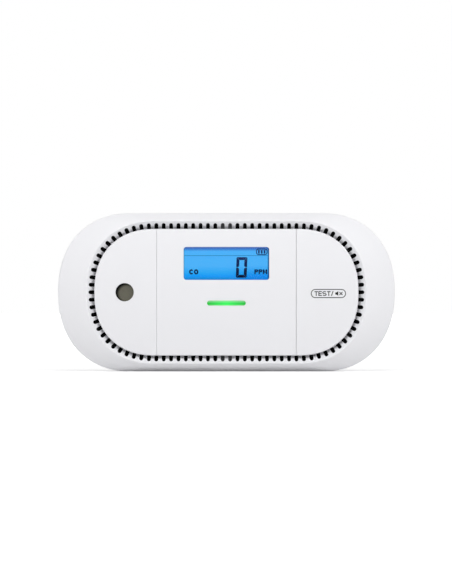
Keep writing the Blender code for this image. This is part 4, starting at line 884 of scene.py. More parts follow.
def letter_loops(letter, wide, high, stroke):
    """A bold capital with even strokes: its outer loop, and an inner one where it has a closed bowl."""
    x = wide / 2
    z = high / 2
    inner_x = x - stroke
    inner_z = z - stroke
    if letter == "O":
        return [arc(x, z, x, z, 0, 360)[:-1], arc(x, z, inner_x, inner_z, 0, 360)[:-1]]
    if letter == "C":
        return [np.concatenate([arc(x, z, x, z, 36, 324), arc(x, z, inner_x, inner_z, 324, 36)])]
    if letter == "S":
        bend_z = (high - stroke) / 4
        upper = arc(x, z + bend_z, x - stroke / 2, bend_z, 25, 270)
        lower = arc(x, z - bend_z, x - stroke / 2, bend_z, 90, -155)
        return [stroke_loop(np.concatenate([upper, lower[1:]]), stroke)]
    if letter == "T":
        stem = x + stroke / 2
        under = high - stroke
        half = [[stem, 0], [stem, under], [wide, under], [wide, high]]
        return [np.array(half + [[wide - across, up] for across, up in half[::-1]])]
    if letter == "E":
        tip = 0.92 * wide
        low = z - stroke / 2
        half = [[wide, 0], [wide, stroke], [stroke, stroke], [stroke, low], [tip, low]]
        upper = [[across, high - up] for across, up in half[::-1]]
        return [np.array([[0, 0]] + half + upper + [[0, high]])]
    if letter == "/":
        return [np.array([[0, 0], [stroke, 0], [wide, high], [wide - stroke, high]])]
    if letter == "P":
        bowl = 0.3 * high
        middle = wide - bowl
        stem = np.array([[0, high], [0, 0], [stroke, 0], [stroke, high - 2 * bowl]])
        outer = np.concatenate([stem, arc(middle, high - bowl, bowl, bowl, -90, 90)])
        inner_bowl = arc(middle, high - bowl, bowl - stroke, bowl - stroke, -90, 90)
        start = [[stroke, high - stroke], [stroke, high - 2 * bowl + stroke]]
        return [outer, np.concatenate([start, inner_bowl])]
    # What is left is an M: two legs with a deep notch between them.
    left_leg = [[0, high], [0, 0], [stroke, 0], [stroke, 0.55 * high]]
    left = [[x, 0.42 * high], [1.15 * stroke, high]] + left_leg
    right = [[wide - across, up] for across, up in left[:0:-1]]
    return [np.array(left + [[x, 0.1 * high]] + right)]


def letter_marks(letters, stroke, left, right, bottom, top):
    """Bold capitals side by side that fill a box; stroke is a share of their height."""
    high = top - bottom
    shares = np.array([LETTER_WIDTHS[letter] for letter in letters])
    room = (right - left) / (shares.sum() + LETTER_GAP * (len(letters) - 1))
    starts = left + room * (np.cumsum(shares + LETTER_GAP) - shares - LETTER_GAP)
    marks = []
    for letter, share, start in zip(letters, shares, starts):
        loops = letter_loops(letter, share * room, high, stroke * high)
        marks.append([loop + (start, bottom) for loop in loops])
    return marks


def nought_marks(left, right, bottom, top, slant):
    """The six segments of a nought: mitred bars along an upright box that leans by slant at its top."""
    width = right - left - slant
    height = top - bottom
    bar = 0.27 * width
    gap = 0.012 * width
    cut = gap + 0.06 * width
    near = (cut - gap) / 2
    far = (cut + gap) / 2
    end = height / 2 - 2 * gap
    corner = np.array([[bar + gap, bar], [far, near], [cut, 0]])
    level_bar = np.concatenate([corner, (corner * (-1, 1) + (width, 0))[::-1]])
    mitre = [[0, cut], [near, far], [bar, bar + gap]]
    upright = np.array(mitre + [[bar, end - 0.4 * bar], [0.6 * bar, end], [0, end]])
    loops = [level_bar, upright, upright * (-1, 1) + (width, 0)]
    loops += [loop * (1, -1) + (0, height) for loop in loops]
    lean = np.array([[1, 0], [slant / height, 1]])
    return [[loop @ lean + (left, bottom)] for loop in loops]


def charge_marks(x, z, half_length, half_height):
    """A charge sign: a border with bowed ends round three upright bars."""
    line = 0.28 * half_height
    bow = 0.84 * half_height
    outer = rounded_box(x, z, half_length, half_height, bow)
    inner = rounded_box(x, z, half_length - line, half_height - line, bow - line)
    room = (2 * half_length - 3.4 * line) / 3
    bars = [box(x + step * room, z, 0.3 * room, half_height - 1.6 * line) for step in (-1, 0, 1)]
    return [[outer, inner]] + [[bar] for bar in bars]


def make_marks(marks, front, back, *piece):
    """One piece of flat marks between two depths; each mark is an outer loop and the holes in it."""
    skin = Skin()
    for loops in marks:
        skin.slab(front, back, *loops)
    skin.piece(*piece)


# Rear cover, door and battery


def screw_skin(x, z, seat, shank, reach, head, height):
    """A pan-head screw with a cross recess, pointing to the front. seat is the depth under its head, shank
    and head are radii, reach is the length of the shank, and height is that of the head.

    The shank's radius goes up and down with the turn less the depth over the pitch, which is a thread, and
    runs out to a point at the tip. The head is a rounded rim under a flat crown.
    """
    skin = Skin()
    core = 0.8
    pitch = 0.85 * shank
    run_out = 2.2 * pitch
    turn = np.linspace(0, 2 * np.pi, THREAD_COLUMNS, endpoint=False)
    depth = np.linspace(seat - reach, seat - pitch, int(THREAD_ROWS * reach / pitch))[:, None]
    tooth = np.abs((depth / pitch - turn / (2 * np.pi)) % 1 - 0.5) * 2
    taper = np.clip((depth - seat + reach) / run_out, 0, 1)
    radius = shank * taper * (1 - (1 - core) * tooth)
    crown = [(seat, shank * core), (seat, head)]
    for inset, fall in quarter_round()[::-1]:
        crown.append((seat + height * (1 - 0.45 * fall), head * (1 - 0.25 * inset)))
    crown_depth, crown_radius = np.array(crown).T[:, :, None]
    depths = np.concatenate([depth, crown_depth])
    radii = np.concatenate([radius, crown_radius * np.ones(len(turn))])
    skin.grid(placed(x + radii * np.cos(turn), depths, z + radii * np.sin(turn)))
    top = seat + height
    bottom = top - 0.6 * height
    recess = cross_loop(x, z, 0.5 * head, 0.12 * head, math.pi / 4)
    point = cross_loop(x, z, 0.2 * head, 0.1 * head, math.pi / 4)
    skin.fill(level(top), circle(x, z, crown[-1][1], THREAD_COLUMNS), recess)
    skin.loft((recess, top), (point, bottom))
    skin.fill(level(bottom), point)
    return skin


def tray_rows():
    """(inset, depth) from the inner floor of the rear cover over its tongue and round its outer edge."""
    case = case_sizes()
    inner = case.case_depth - case.wall
    mouth = case.parting + case.parting_gap
    tongue_end = case.parting - case.tongue
    tongue_side = case.tongue_wall + SOFT
    rows = [
        (case.wall + 0.5 * case.rear_round, inner),
        (case.wall + 0.15 * case.rear_round, inner - 0.15 * case.rear_round),
        (case.wall, inner - case.wall),
        (case.wall, tongue_end),
        (tongue_side, tongue_end),
        (tongue_side, mouth),
        (SOFT, mouth),
        (0.3 * SOFT, mouth + 0.3 * SOFT),
        (0.0, mouth + SOFT),
    ]
    for inset, fall in quarter_round(8)[::-1]:
        rows.append((case.rear_round * inset, case.case_depth - case.rear_round * fall))
    return rows


def rear_cover_skin():
    """The rear cover: a shallow tray with a tongue round its mouth, a battery bay under a hinged door,
    two keyholes with closed pockets and four sunk screw seats."""
    case = case_sizes()
    skin = Skin()
    ways = even_ways(case_outline, np.arange(OUTLINE_STEPS) / OUTLINE_STEPS)[0]
    rows = tray_rows()
    skin.grid(np.concatenate([case_ring(ways, -inset, depth) for inset, depth in rows]))
    edges = [np.stack(case_outline(ways, -inset), axis=-1) for inset, depth in (rows[0], rows[-1])]
    openings = [edges, add_battery_bay(skin), *add_screw_seats(skin), *add_keyholes(skin)]
    skin.fill(level(case.case_depth), *[behind for inside, behind in openings])
    skin.fill(level(case.case_depth - case.wall), *[inside for inside, behind in openings])
    return skin


def add_screw_seats(skin):
    """Sunk seats with a tube to the front for the case screws; gives their loops inside and behind."""
    case = case_sizes()
    back = case.case_depth
    sunk, hole, tube, sunk_depth, tube_height = mm(3.1, 1.7, 4.4, 2.9, 12.0)
    seat = back - sunk_depth
    end = back - tube_height
    steps = [(sunk, back), (sunk, seat), (hole, seat), (hole, end), (tube, end), (tube, back - case.wall)]
    openings = []
    for x, z in case_screws():
        loops = [(circle(x, z, radius), depth) for radius, depth in steps]
        skin.loft(*loops)
        openings.append((loops[-1][0], loops[0][0]))
    return openings


def add_keyholes(skin):
    """Keyholes, each into a closed pocket for the screw's head; gives their loops inside and behind."""
    case = case_sizes()
    inner = case.case_depth - case.wall
    room, pocket_depth, pocket_wall = mm(0.8, 4.2, 1.4)
    openings = []
    for x in (-case.keyhole_x, case.keyhole_x):
        keyhole = keyhole_loop(x, case.keyhole_z)
        pocket = keyhole_pocket(x, case.keyhole_z, room)
        block = keyhole_pocket(x, case.keyhole_z, room + pocket_wall)
        skin.loft((keyhole, case.case_depth), (keyhole, inner))
        skin.fill(level(inner), pocket, keyhole)
        for loop, height in ((pocket, pocket_depth), (block, pocket_depth + pocket_wall)):
            skin.loft((loop, inner), (loop, inner - height))
            skin.fill(level(inner - height), loop)
        openings.append((block, keyhole))
    return openings


def add_battery_bay(skin):
    """The recess for the door, with a finger notch and holes for the door's pins, and the cell's pocket;
    gives its loops inside and behind."""
    case = case_sizes()
    back = case.case_depth
    ledge = case.door_front - case.door_gap
    notch = back - NOTCH_DEPTH
    mouth = recess_loop(NOTCH_MOUTH, 1)
    straight = recess_loop(NOTCH_FLOOR, 0)
    rows = [(mouth, back), (recess_loop(NOTCH_FLOOR, 1), notch), (straight, notch), (straight, ledge)]
    long_sides = np.ones(len(straight), bool)
    long_sides[[-3, -1]] = False
    skin.grid(np.stack([level(depth)(*loop.T) for loop, depth in rows]), kept=long_sides)
    pocket = bay_loop(0)
    outside = bay_loop(BAY_WALL)
    slit_x, slit_half_length, slit_half_height = mm(19.9, 0.5, 1.8)
    slits = [box(x, case.bay_z, slit_half_length, slit_half_height) for x in (-slit_x, slit_x)]
    skin.fill(level(ledge), straight, pocket)
    skin.loft((pocket, ledge), (pocket, case.pocket_front))
    skin.fill(level(case.pocket_front), pocket, *slits)
    skin.loft((outside, back - case.wall), (outside, case.bay_front))
    skin.fill(level(case.bay_front), outside, *slits)
    for slit in slits:
        skin.loft((slit, case.pocket_front), (slit, case.bay_front))
    add_pin_walls(skin, ledge, notch)
    return outside, mouth


def add_pin_walls(skin, ledge, notch):
    """The two short walls of the door's recess, each with a blind hole for a pin of the door."""
    case = case_sizes()
    hole_radius, hole_depth = mm(0.7, 1.2)
    left, bottom = bay_loop(case.ledge)[0]
    top = 2 * case.bay_z - bottom
    depths = [ledge, notch, case.case_depth]
    wall = np.array([[depth, bottom] for depth in depths] + [[depth, top] for depth in depths[::-1]])
    hole = circle(*door_axis(), hole_radius, steps=16)
    for side in (-1, 1):
        start = -side * left
        end = start + side * hole_depth
        skin.fill(lambda depth, z: placed(start, depth, z), wall, hole)
        rings = [placed(x, *hole.T) for x in (start, end)]
        skin.grid(np.stack(rings))
        skin.cap(rings[-1])


def door_axis():
    """Depth and z of the door's hinge, in the middle of its thickness."""
    case = case_sizes()
    return (case.door_front + case.case_depth) / 2, case.door_axis_z


def door_section(inset):
    """Depth and z round the door's section: a lid whose hinged edge is a half circle about the hinge."""
    case = case_sizes()
    middle, axis = door_axis()
    radius = middle - case.door_front - inset
    foot = 2 * case.bay_z - axis - radius
    lip = np.linspace(-np.pi / 2, 0, 6)
    turn = np.linspace(0, np.pi, 25)
    back = middle + radius - SOFT
    depth = [middle - radius, *(back + SOFT * np.cos(lip)), *(middle + radius * np.cos(turn))]
    z = [foot, *(foot + SOFT + SOFT * np.sin(lip)), *(axis + radius * np.sin(turn))]
    return np.array(depth), np.array(z)


def door_skin():
    """The battery door: its section carried along x, with softened ends and a hinge pin at each end."""
    case = case_sizes()
    skin = Skin()
    half = case.pocket_half_length + case.ledge - case.door_gap
    soft, pin, shoulder, tip, tip_radius = mm(0.25, 0.45, 1.0, 1.2, 0.3)
    edge = [(half - soft * fall, soft * inset) for inset, fall in quarter_round(4)]
    stations = [(-x, inset) for x, inset in edge] + edge[::-1]
    skin.swept([placed(x, *door_section(inset)) for x, inset in stations])
    profile = [(-ROOT, 0), (-ROOT, pin), (shoulder, pin), (tip, tip_radius), (tip, 0)]
    for side in (-1, 1):
        skin.turned_along_x(*door_axis(), (np.array(profile) + (half, 0)) * (side, 1), steps=20)
    return skin


def cell_depth():
    """Depth of the middle line of the battery cell and its spring."""
    return case_sizes().pocket_front + CELL_GAP + CELL_RADIUS


def cell_skin():
    """The battery cell: a sleeve shrunk over rounded ends, with a raised pole at its right end."""
    skin = Skin()
    soft, lip, dish, groove, collar = mm(0.8, 1.8, 0.2, 0.3, 5.6)
    pole, pole_height, pole_soft = mm(3.2, 1.5, 0.4)
    shoulder = CELL_RIGHT - pole_height
    foot = CELL_LEFT + dish
    hollow = CELL_RADIUS - lip
    start = [(CELL_LEFT + soft * fall, CELL_RADIUS - soft * inset) for inset, fall in quarter_round()]
    end = [(shoulder - soft * fall, CELL_RADIUS - soft * inset) for inset, fall in quarter_round()[::-1]]
    profile = [(foot, 0), (foot, hollow - dish), (CELL_LEFT, hollow), *start, *end]
    profile += [(shoulder, collar), (shoulder - groove, collar - dish), (shoulder - groove, pole)]
    profile += [(CELL_RIGHT - pole_soft, pole), (CELL_RIGHT, pole - pole_soft), (CELL_RIGHT, 0)]
    skin.turned_along_x(cell_depth(), case_sizes().bay_z, profile, steps=64)
    return skin


def spring_skin():
    """The contact spring: a round wire carried along a helix whose radius shrinks towards the cell."""
    skin = Skin()
    turns = 3.5
    wire, wide, narrow, start, reach = mm(0.4, 4.6, 3.4, -19.4, 4.0)
    share = np.linspace(0, 1, SPRING_ROWS)[:, None]
    turn = share * turns * 2 * np.pi
    coil = wide + (narrow - wide) * share - wire
    x = start + reach * share + wire * (1 - 2 * share)
    round_wire = np.linspace(0, 2 * np.pi, 12, endpoint=False)
    across = coil + wire * np.cos(round_wire)
    depth = cell_depth() + across * np.cos(turn)
    z = case_sizes().bay_z + across * np.sin(turn)
    skin.swept(placed(x + wire * np.sin(round_wire), depth, z))
    return skin


# Materials


def add_node(tree, kind, inputs=None, output=None, feeds=None, stops=None, blend="LINEAR", **settings):
    """Add one node and give the output that is used: the named one, or else the first live one.

    settings go on the node itself, and inputs are values for its sockets or the sockets that feed them.
    A colour ramp takes its colours from stops, by place, and blend says how each goes over into the next.
    With feeds, the output goes to that input of the material's shader.
    """
    made = tree.nodes.new(kind)
    for name, value in settings.items():
        setattr(made, name, value)
    for name, value in (inputs or {}).items():
        if isinstance(value, bpy.types.NodeSocket):
            tree.links.new(value, made.inputs[name])
        else:
            made.inputs[name].default_value = value
    if stops:
        scale = made.color_ramp
        scale.interpolation = blend
        while len(scale.elements) < len(stops):
            scale.elements.new(1.0)
        for element, (place, shade) in zip(scale.elements, stops.items()):
            element.position = place
            element.color = shade
    used = made.outputs[output] if output else next(socket for socket in made.outputs if socket.enabled)
    if feeds:
        tree.links.new(used, tree.nodes["Principled BSDF"].inputs[feeds])
    return used


def new_finish(name, **values):
    """A material with one Principled shader, whose even values are set on its own sockets.

    Gives the material, its node tree, and the socket that tells where a point lies on the object.
    """
    finish = bpy.data.materials.new(name)
    finish.use_nodes = True
    shader = finish.node_tree.nodes["Principled BSDF"]
    for key, value in values.items():
        shader.inputs[key.replace("_", " ")].default_value = value
    return finish, finish.node_tree, add_node(finish.node_tree, "ShaderNodeTexCoord", output="Object")


def darker(shade, share):
    """A colour with its light cut down to a share."""
    return (*(channel * share for channel in shade[:3]), 1.0)


def along_axis(tree, where, axis, middle, half):
    """The share across a span at which a point lies along X or Z; the span is given by its middle,
    counted from the middle of the case, and half its size."""
    if axis == "Z":
        middle += case_sizes().case_height / 2
    place = add_node(tree, "ShaderNodeSeparateXYZ", {"Vector": where}, output=axis)
    span = {"Value": place, "From Min": middle - half, "From Max": middle + half}
    return add_node(tree, "ShaderNodeMapRange", span)


def moulded(name, shade, roughness, grain, depth, mottle=0.97, **values):
    """Plastic or rubber from a textured tool. The eye gets an even colour with a barely cloudy tone, and a
    fine grain that spreads the highlights. grain is the width of one pit of the tool's texture."""
    finish, tree, where = new_finish(name, **values)
    cloud = add_node(tree, "ShaderNodeTexNoise", {"Vector": where, "Scale": 1 / CLOUD, "Detail": 2.0})
    pits = add_node(tree, "ShaderNodeTexNoise", {"Vector": where, "Scale": 1 / grain, "Detail": 3.0})
    tones = {SHARE: cloud, FIRST: darker(shade, mottle), SECOND: shade}
    add_node(tree, "ShaderNodeMix", tones, feeds="Base Color", data_type="RGBA")
    spread = {"Value": pits, "To Min": roughness - 0.06, "To Max": roughness + 0.06}
    add_node(tree, "ShaderNodeMapRange", spread, feeds="Roughness")
    add_node(tree, "ShaderNodeBump", {"Height": pits, "Strength": 0.35, "Distance": depth}, feeds="Normal")
    return finish


def rolled_metal(name, shade, roughness, line, stretch):
    """Rolled or drawn metal. The eye gets a hard sheen drawn out along x by fine lines of a given width."""
    finish, tree, where = new_finish(name, Metallic=1.0)
    drawn = add_node(tree, "ShaderNodeMapping", {"Vector": where, "Scale": (1 / stretch, 1.0, 1.0)})
    lines = add_node(tree, "ShaderNodeTexNoise", {"Vector": drawn, "Scale": 1 / line, "Detail": 4.0})
    tones = {SHARE: lines, FIRST: darker(shade, 0.82), SECOND: shade}
    add_node(tree, "ShaderNodeMix", tones, feeds="Base Color", data_type="RGBA")
    spread = {"Value": lines, "To Min": roughness - 0.08, "To Max": roughness + 0.1}
    add_node(tree, "ShaderNodeMapRange", spread, feeds="Roughness")
    relief = {"Height": lines, "Strength": 0.3, "Distance": 0.01 * MM}
    add_node(tree, "ShaderNodeBump", relief, feeds="Normal")
    return finish


def wave_scale(spacing):
    """The wave texture's scale that puts its bands at a spacing; at scale 1 they are pi / 10 apart."""
    return math.pi / 10 / spacing


def woven(name, shade, thread, roughness):
    """Plain-woven gauze. The eye gets rows of round threads over dark gaps, at the given thread spacing."""
    finish, tree, where = new_finish(name, Roughness=roughness, Specular_IOR_Level=0.15)
    rows = {"Vector": where, "Scale": wave_scale(thread)}
    across = add_node(tree, "ShaderNodeTexWave", rows, output="Fac", bands_direction="X")
    along = add_node(tree, "ShaderNodeTexWave", rows, output="Fac", bands_direction="Z")
    height = add_node(tree, "ShaderNodeMath", {0: across, 1: along}, operation="MAXIMUM")
    tones = {SHARE: height, FIRST: darker(shade, 0.35), SECOND: shade}
    add_node(tree, "ShaderNodeMix", tones, feeds="Base Color", data_type="RGBA")
    relief = {"Height": height, "Strength": 0.8, "Distance": thread / 3}
    add_node(tree, "ShaderNodeBump", relief, feeds="Normal")
    return finish


def gauze_with_painted_shadow():
    # Woven gauze: a warm, dull olive grey. A black painted shadow lies round its edge and reaches further
    # in from the left and the top, as if the hole's wall shaded the sunk disc. The weave is drawn coarse.
    case = case_sizes()
    finish = woven("polyester woven olive black edged", colour_of("gauze"), WEAVE, 0.8)
    tree = finish.node_tree
    weave = tree.nodes["Principled BSDF"].inputs["Base Color"].links[0].from_socket
    where = add_node(tree, "ShaderNodeTexCoord", output="Object")
    # Painted shadow: the weave goes over to black between clear and full from a middle set right of and
    # below the hole's, so the black reaches in most at the left and the top.
    right, depth, down, clear, full = mm(1.05, 1.7, 0.6, 3.1, 4.9)
    middle = (panel_sizes().horn_x + right, depth - case.case_depth / 2, case.case_height / 2 - down)
    away = add_node(tree, "ShaderNodeVectorMath", {0: where, 1: middle}, operation="DISTANCE")
    share = add_node(tree, "ShaderNodeMapRange", {"Value": away, "From Min": clear, "From Max": full})
    shades = {0.0: BLACK, 1.0: WHITE}
    ink = add_node(tree, "ShaderNodeValToRGB", {"Fac": share}, stops=shades, blend="EASE")
    tones = {SHARE: ink, FIRST: weave, SECOND: linear("060606")}
    add_node(tree, "ShaderNodeMix", tones, feeds="Base Color", data_type="RGBA")
    return finish


def black_gauze():
    # Dust screens: a black weave that swallows the light behind the slots, drawn as coarse as the gauze.
    return woven("polyester woven black", linear("040405"), WEAVE, 0.85)


def white_abs():
    # ABS moulded in a spark-eroded tool: a bright, slightly cool white with a soft satin sheen. The tool's
    # pits are about 0.1 mm and are drawn three times as coarse so that they show.
    grain, depth = mm(0.3, 0.012)
    return moulded("ABS moulded satin white", colour_of("white"), 0.42, grain, depth, 0.985, IOR=1.53)


def panel_abs():
    # The same ABS from a finer tool: a little smoother and duller than the covers.
    grain, depth = mm(0.25, 0.008)
    return moulded("ABS moulded fine white", colour_of("panel"), 0.36, grain, depth, 0.985, IOR=1.53)


def grey_abs():
    # ABS from a plain tool: a middle grey that shows behind four of the slots.
    return moulded("ABS moulded grey", linear("6f7072"), 0.5, 0.4 * MM, 0.012 * MM, 0.92)


def black_nylon():
    # Nylon from a plain tool: near black with a dull sheen.
    return moulded("nylon moulded black", linear("1c1d1f"), 0.5, 0.4 * MM, 0.015 * MM, 0.85)


def printed_ink(name, shade):
    # Pad-printed ink: matt, with tiny pinholes from the pad about 0.15 mm wide.
    return moulded(name, shade, 0.6, 0.15 * MM, 0.004 * MM, 0.9)


def plated_steel():
    # Zinc-plated steel: a bright, slightly blue grey with fine drawn lines.
    return rolled_metal("steel drawn zinc plated", linear("c3c8cc"), 0.3, 0.2 * MM, 6.0)


def clear_acrylic():
    # PMMA under an anti-reflection coat: clear, with weak but sharp reflections and a trace of waviness.
    finish, tree, where = new_finish(
        "acrylic moulded clear coated",
        Base_Color=linear("fafcfd"),
        Roughness=0.03,
        IOR=1.49,
        Transmission_Weight=1.0,
        Specular_Tint=linear("38383c"),
    )
    wave = add_node(tree, "ShaderNodeTexNoise", {"Vector": where, "Scale": 1 / (14 * MM), "Detail": 1.0})
    relief = {"Height": wave, "Strength": 0.1, "Distance": 0.02 * MM}
    add_node(tree, "ShaderNodeBump", relief, feeds="Normal")
    return finish


def lit_display():
    # A backlit liquid-crystal cell: an even blue glow, deeper at the foot and the lower right corner, with
    # painted shade of the window's frame: violet along the top, and dimmer along the lower edge and at the
    # two ends.
    panel = panel_sizes()
    finish, tree, where = new_finish(
        "liquid crystal glass backlit blue",
        Base_Color=linear("04080c"),
        Roughness=0.4,
        Specular_IOR_Level=0.1,
        Emission_Strength=1.0,
    )
    up = along_axis(tree, where, "Z", panel.window_z, panel.window_half_height)
    along = along_axis(tree, where, "X", 0.0, panel.window_half_length)
    glow = {
        0.03: colour_of("display_edge_shade"),
        0.10: colour_of("display_bottom"),
        0.22: colour_of("display_low"),
        0.42: colour_of("display_middle"),
        0.87: colour_of("display_middle"),
        0.94: colour_of("display_top"),
        1.0: colour_of("display_shade"),
    }
    right = {0.5: BLACK, 0.8: WHITE}
    foot = {0.0: linear("c8c8c8"), 0.45: BLACK}
    # Painted shade of the window's frame: the glow is dimmed in a thin strip at each end.
    ends = {0.0: linear("b0b0b0"), 0.012: WHITE, 0.978: WHITE, 0.992: linear("8c8c90")}
    blue = add_node(tree, "ShaderNodeValToRGB", {"Fac": up}, stops=glow)
    rightwards = add_node(tree, "ShaderNodeValToRGB", {"Fac": along}, stops=right)
    downwards = add_node(tree, "ShaderNodeValToRGB", {"Fac": up}, stops=foot)
    frame_shade_at_ends = add_node(tree, "ShaderNodeValToRGB", {"Fac": along}, stops=ends)
    corner = add_node(tree, "ShaderNodeMath", {0: rightwards, 1: downwards}, operation="MULTIPLY")
    tones = {SHARE: corner, FIRST: blue, SECOND: colour_of("display_deep")}
    deep = add_node(tree, "ShaderNodeMix", tones, data_type="RGBA")
    dimmed = {SHARE: 1.0, FIRST: deep, SECOND: frame_shade_at_ends}
    add_node(tree, "ShaderNodeMix", dimmed, feeds="Emission Color", data_type="RGBA", blend_type="MULTIPLY")
    return finish


def display_ink(name, low, high):
    # Dark liquid-crystal segments: darkest at the foot, and bluer towards the top where more of the light
    # behind them leaks through.
    panel = panel_sizes()
    finish, tree, where = new_finish(
        name, Base_Color=linear("020306"), Roughness=0.4, Specular_IOR_Level=0.05, Emission_Strength=1.0
    )
    up = along_axis(tree, where, "Z", panel.window_z, panel.window_half_height)
    shades = {0.15: colour_of(low), 0.7: colour_of(high)}
    add_node(tree, "ShaderNodeValToRGB", {"Fac": up}, stops=shades, feeds="Emission Color")
    return finish


def lit_lamp_bar():
    # Milky acrylic lit green from behind: brightest over the lamp in the middle, deeper at the ends, and
    # pale along its upper and lower edges, which are painted highlights.
    panel = panel_sizes()
    finish, tree, where = new_finish(
        "acrylic moulded milky lit green",
        Base_Color=linear("1f7a35"),
        Roughness=0.3,
        IOR=1.49,
        Specular_IOR_Level=0.2,
        Emission_Strength=0.85,
    )
    middle = colour_of("lamp_middle")
    end = colour_of("lamp_end")
    along = along_axis(tree, where, "X", 0.0, panel.bar_half_length)
    length_shades = {0.0: end, 0.45: middle, 0.55: middle, 1.0: end}
    green = add_node(tree, "ShaderNodeValToRGB", {"Fac": along}, stops=length_shades)
    up = along_axis(tree, where, "Z", panel.bar_z, panel.bar_half_height)
    # Painted highlights: the glow turns pale along the lower and upper edges of the bar.
    foot = {0.0: linear("b4b4b4"), 0.2: linear("404040"), 0.4: BLACK}
    head = {0.58: linear("404040"), 0.8: linear("a8a8a8"), 1.0: linear("b4b4b4")}
    painted_edge_highlights = add_node(tree, "ShaderNodeValToRGB", {"Fac": up}, stops=foot | head)
    tones = {SHARE: painted_edge_highlights, FIRST: green, SECOND: linear("c6e6cc")}
    add_node(tree, "ShaderNodeMix", tones, feeds="Emission Color", data_type="RGBA")
    return finish


def solder_mask():
    # Glass-epoxy board under green solder mask: dark green with lighter rows where copper tracks lie below.
    # The tracks are drawn about twice as coarse as real ones so that they show.
    finish, tree, where = new_finish("glass epoxy board green mask", Roughness=0.35, IOR=1.55)
    flat = add_node(tree, "ShaderNodeMapping", {"Vector": where, "Rotation": (math.pi / 2, 0.0, 0.0)})
    tracks = {
        "Vector": flat,
        "Color1": linear("0d4a2c"),
        "Color2": linear("0b4227"),
        "Mortar": linear("2a7d4c"),
        "Scale": 1.0,
        "Mortar Size": 0.25 * MM,
        "Brick Width": 6.0 * MM,
        "Row Height": 1.5 * MM,
    }
    green = add_node(tree, "ShaderNodeTexBrick", tracks, output="Color", feeds="Base Color")
    relief = {"Height": green.node.outputs["Fac"], "Strength": 0.4, "Distance": 0.035 * MM}
    add_node(tree, "ShaderNodeBump", relief, feeds="Normal")
    return finish


def zebra_rubber():
    # Silicone contact strip of conducting and plain layers: fine dark and pale stripes, drawn at 0.4 mm.
    finish, tree, where = new_finish("silicone pressed in layers", Roughness=0.6)
    stripes = {"Vector": where, "Scale": wave_scale(0.4 * MM)}
    layers = add_node(tree, "ShaderNodeTexWave", stripes, output="Fac", bands_direction="X")
    shades = {0.4: linear("1d1d1f"), 0.6: linear("b9a49c")}
    add_node(tree, "ShaderNodeValToRGB", {"Fac": layers}, stops=shades, feeds="Base Color")
    return finish


def cell_sleeve():
    # A shrunk film over a steel can: satin blue with a pale band at the raised pole, bare steel at both
    # ends, and faint wrinkles along the shrink.
    finish, tree, where = new_finish("polyester film shrunk printed", IOR=1.57)
    along = along_axis(tree, where, "X", (CELL_LEFT + CELL_RIGHT) / 2, (CELL_RIGHT - CELL_LEFT) / 2)
    steel = linear("c9ccd0")
    start, band, end = 0.012, 0.72, 0.933
    film = {0.0: steel, start: linear("27497c"), band: linear("b9c6d6"), end: steel}
    bare = {0.0: WHITE, start: BLACK, end: WHITE}
    for shades, feeds in ((film, "Base Color"), (bare, "Metallic")):
        add_node(tree, "ShaderNodeValToRGB", {"Fac": along}, stops=shades, blend="CONSTANT", feeds=feeds)
    wrinkle = add_node(tree, "ShaderNodeTexNoise", {"Vector": where, "Scale": 1 / (3 * MM), "Detail": 2.0})
    spread = {"Value": wrinkle, "To Min": 0.25, "To Max": 0.4}
    add_node(tree, "ShaderNodeMapRange", spread, feeds="Roughness")
    relief = {"Height": wrinkle, "Strength": 0.2, "Distance": 0.05 * MM}
    add_node(tree, "ShaderNodeBump", relief, feeds="Normal")
    return finish


def dress(finish, *names):
    """Give CAD nodes a finish."""
    for name in names:
        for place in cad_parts[name].material_slots:
            place.material = finish


# Operators


class ALARM_OT_front_cover(bpy.types.Operator):
    """Build the front cover with its domed rim and slotted channel"""

    bl_idname = "alarm.front_cover"
    bl_label = "Front cover"

    def execute(self, context):
        front_cover_skin().piece("front_cover_shell", white_abs(), "case", "case_white", "front_cover")
        return {"FINISHED"}


class ALARM_OT_panels(bpy.types.Operator):
    """Build the display panel, the horn panel and the test button"""

    bl_idname = "alarm.panels"
    bl_label = "Panels"

    def execute(self, context):
        panel = panel_sizes()
        thick = panel.thick
        finish = panel_abs()
        seat = panel.lens_margin + 0.3 * MM
        rebate = thick - 1.0 * MM
        window = (window_loop, [(0, rebate), (seat, rebate), (seat, thick)])
        skin = panel_skin(middle_panel_loop, panel.rib_height, [window, (bar_loop, [(0, thick)])])
        add_pegs(skin, middle_pegs())
        skin.piece("display_panel_face", finish, "case", "panel_white", "display_panel")

        seat = 2.1 * MM
        rebate = thick - 0.6 * MM
        horn = (horn_loop, [(0, rebate), (seat, rebate), (seat, thick)])
        skin = panel_skin(left_panel_loop, panel.rib_height, [horn])
        add_pegs(skin, horn_pegs())
        skin.piece("horn_panel_face", finish, "case", "panel_white", "horn_panel")

        skin = panel_skin(right_panel_loop, panel.button_rib, [])
        add_button_back(skin)
        skin.piece("test_button_face", finish, "button", "panel_white", "test_button")
        return {"FINISHED"}


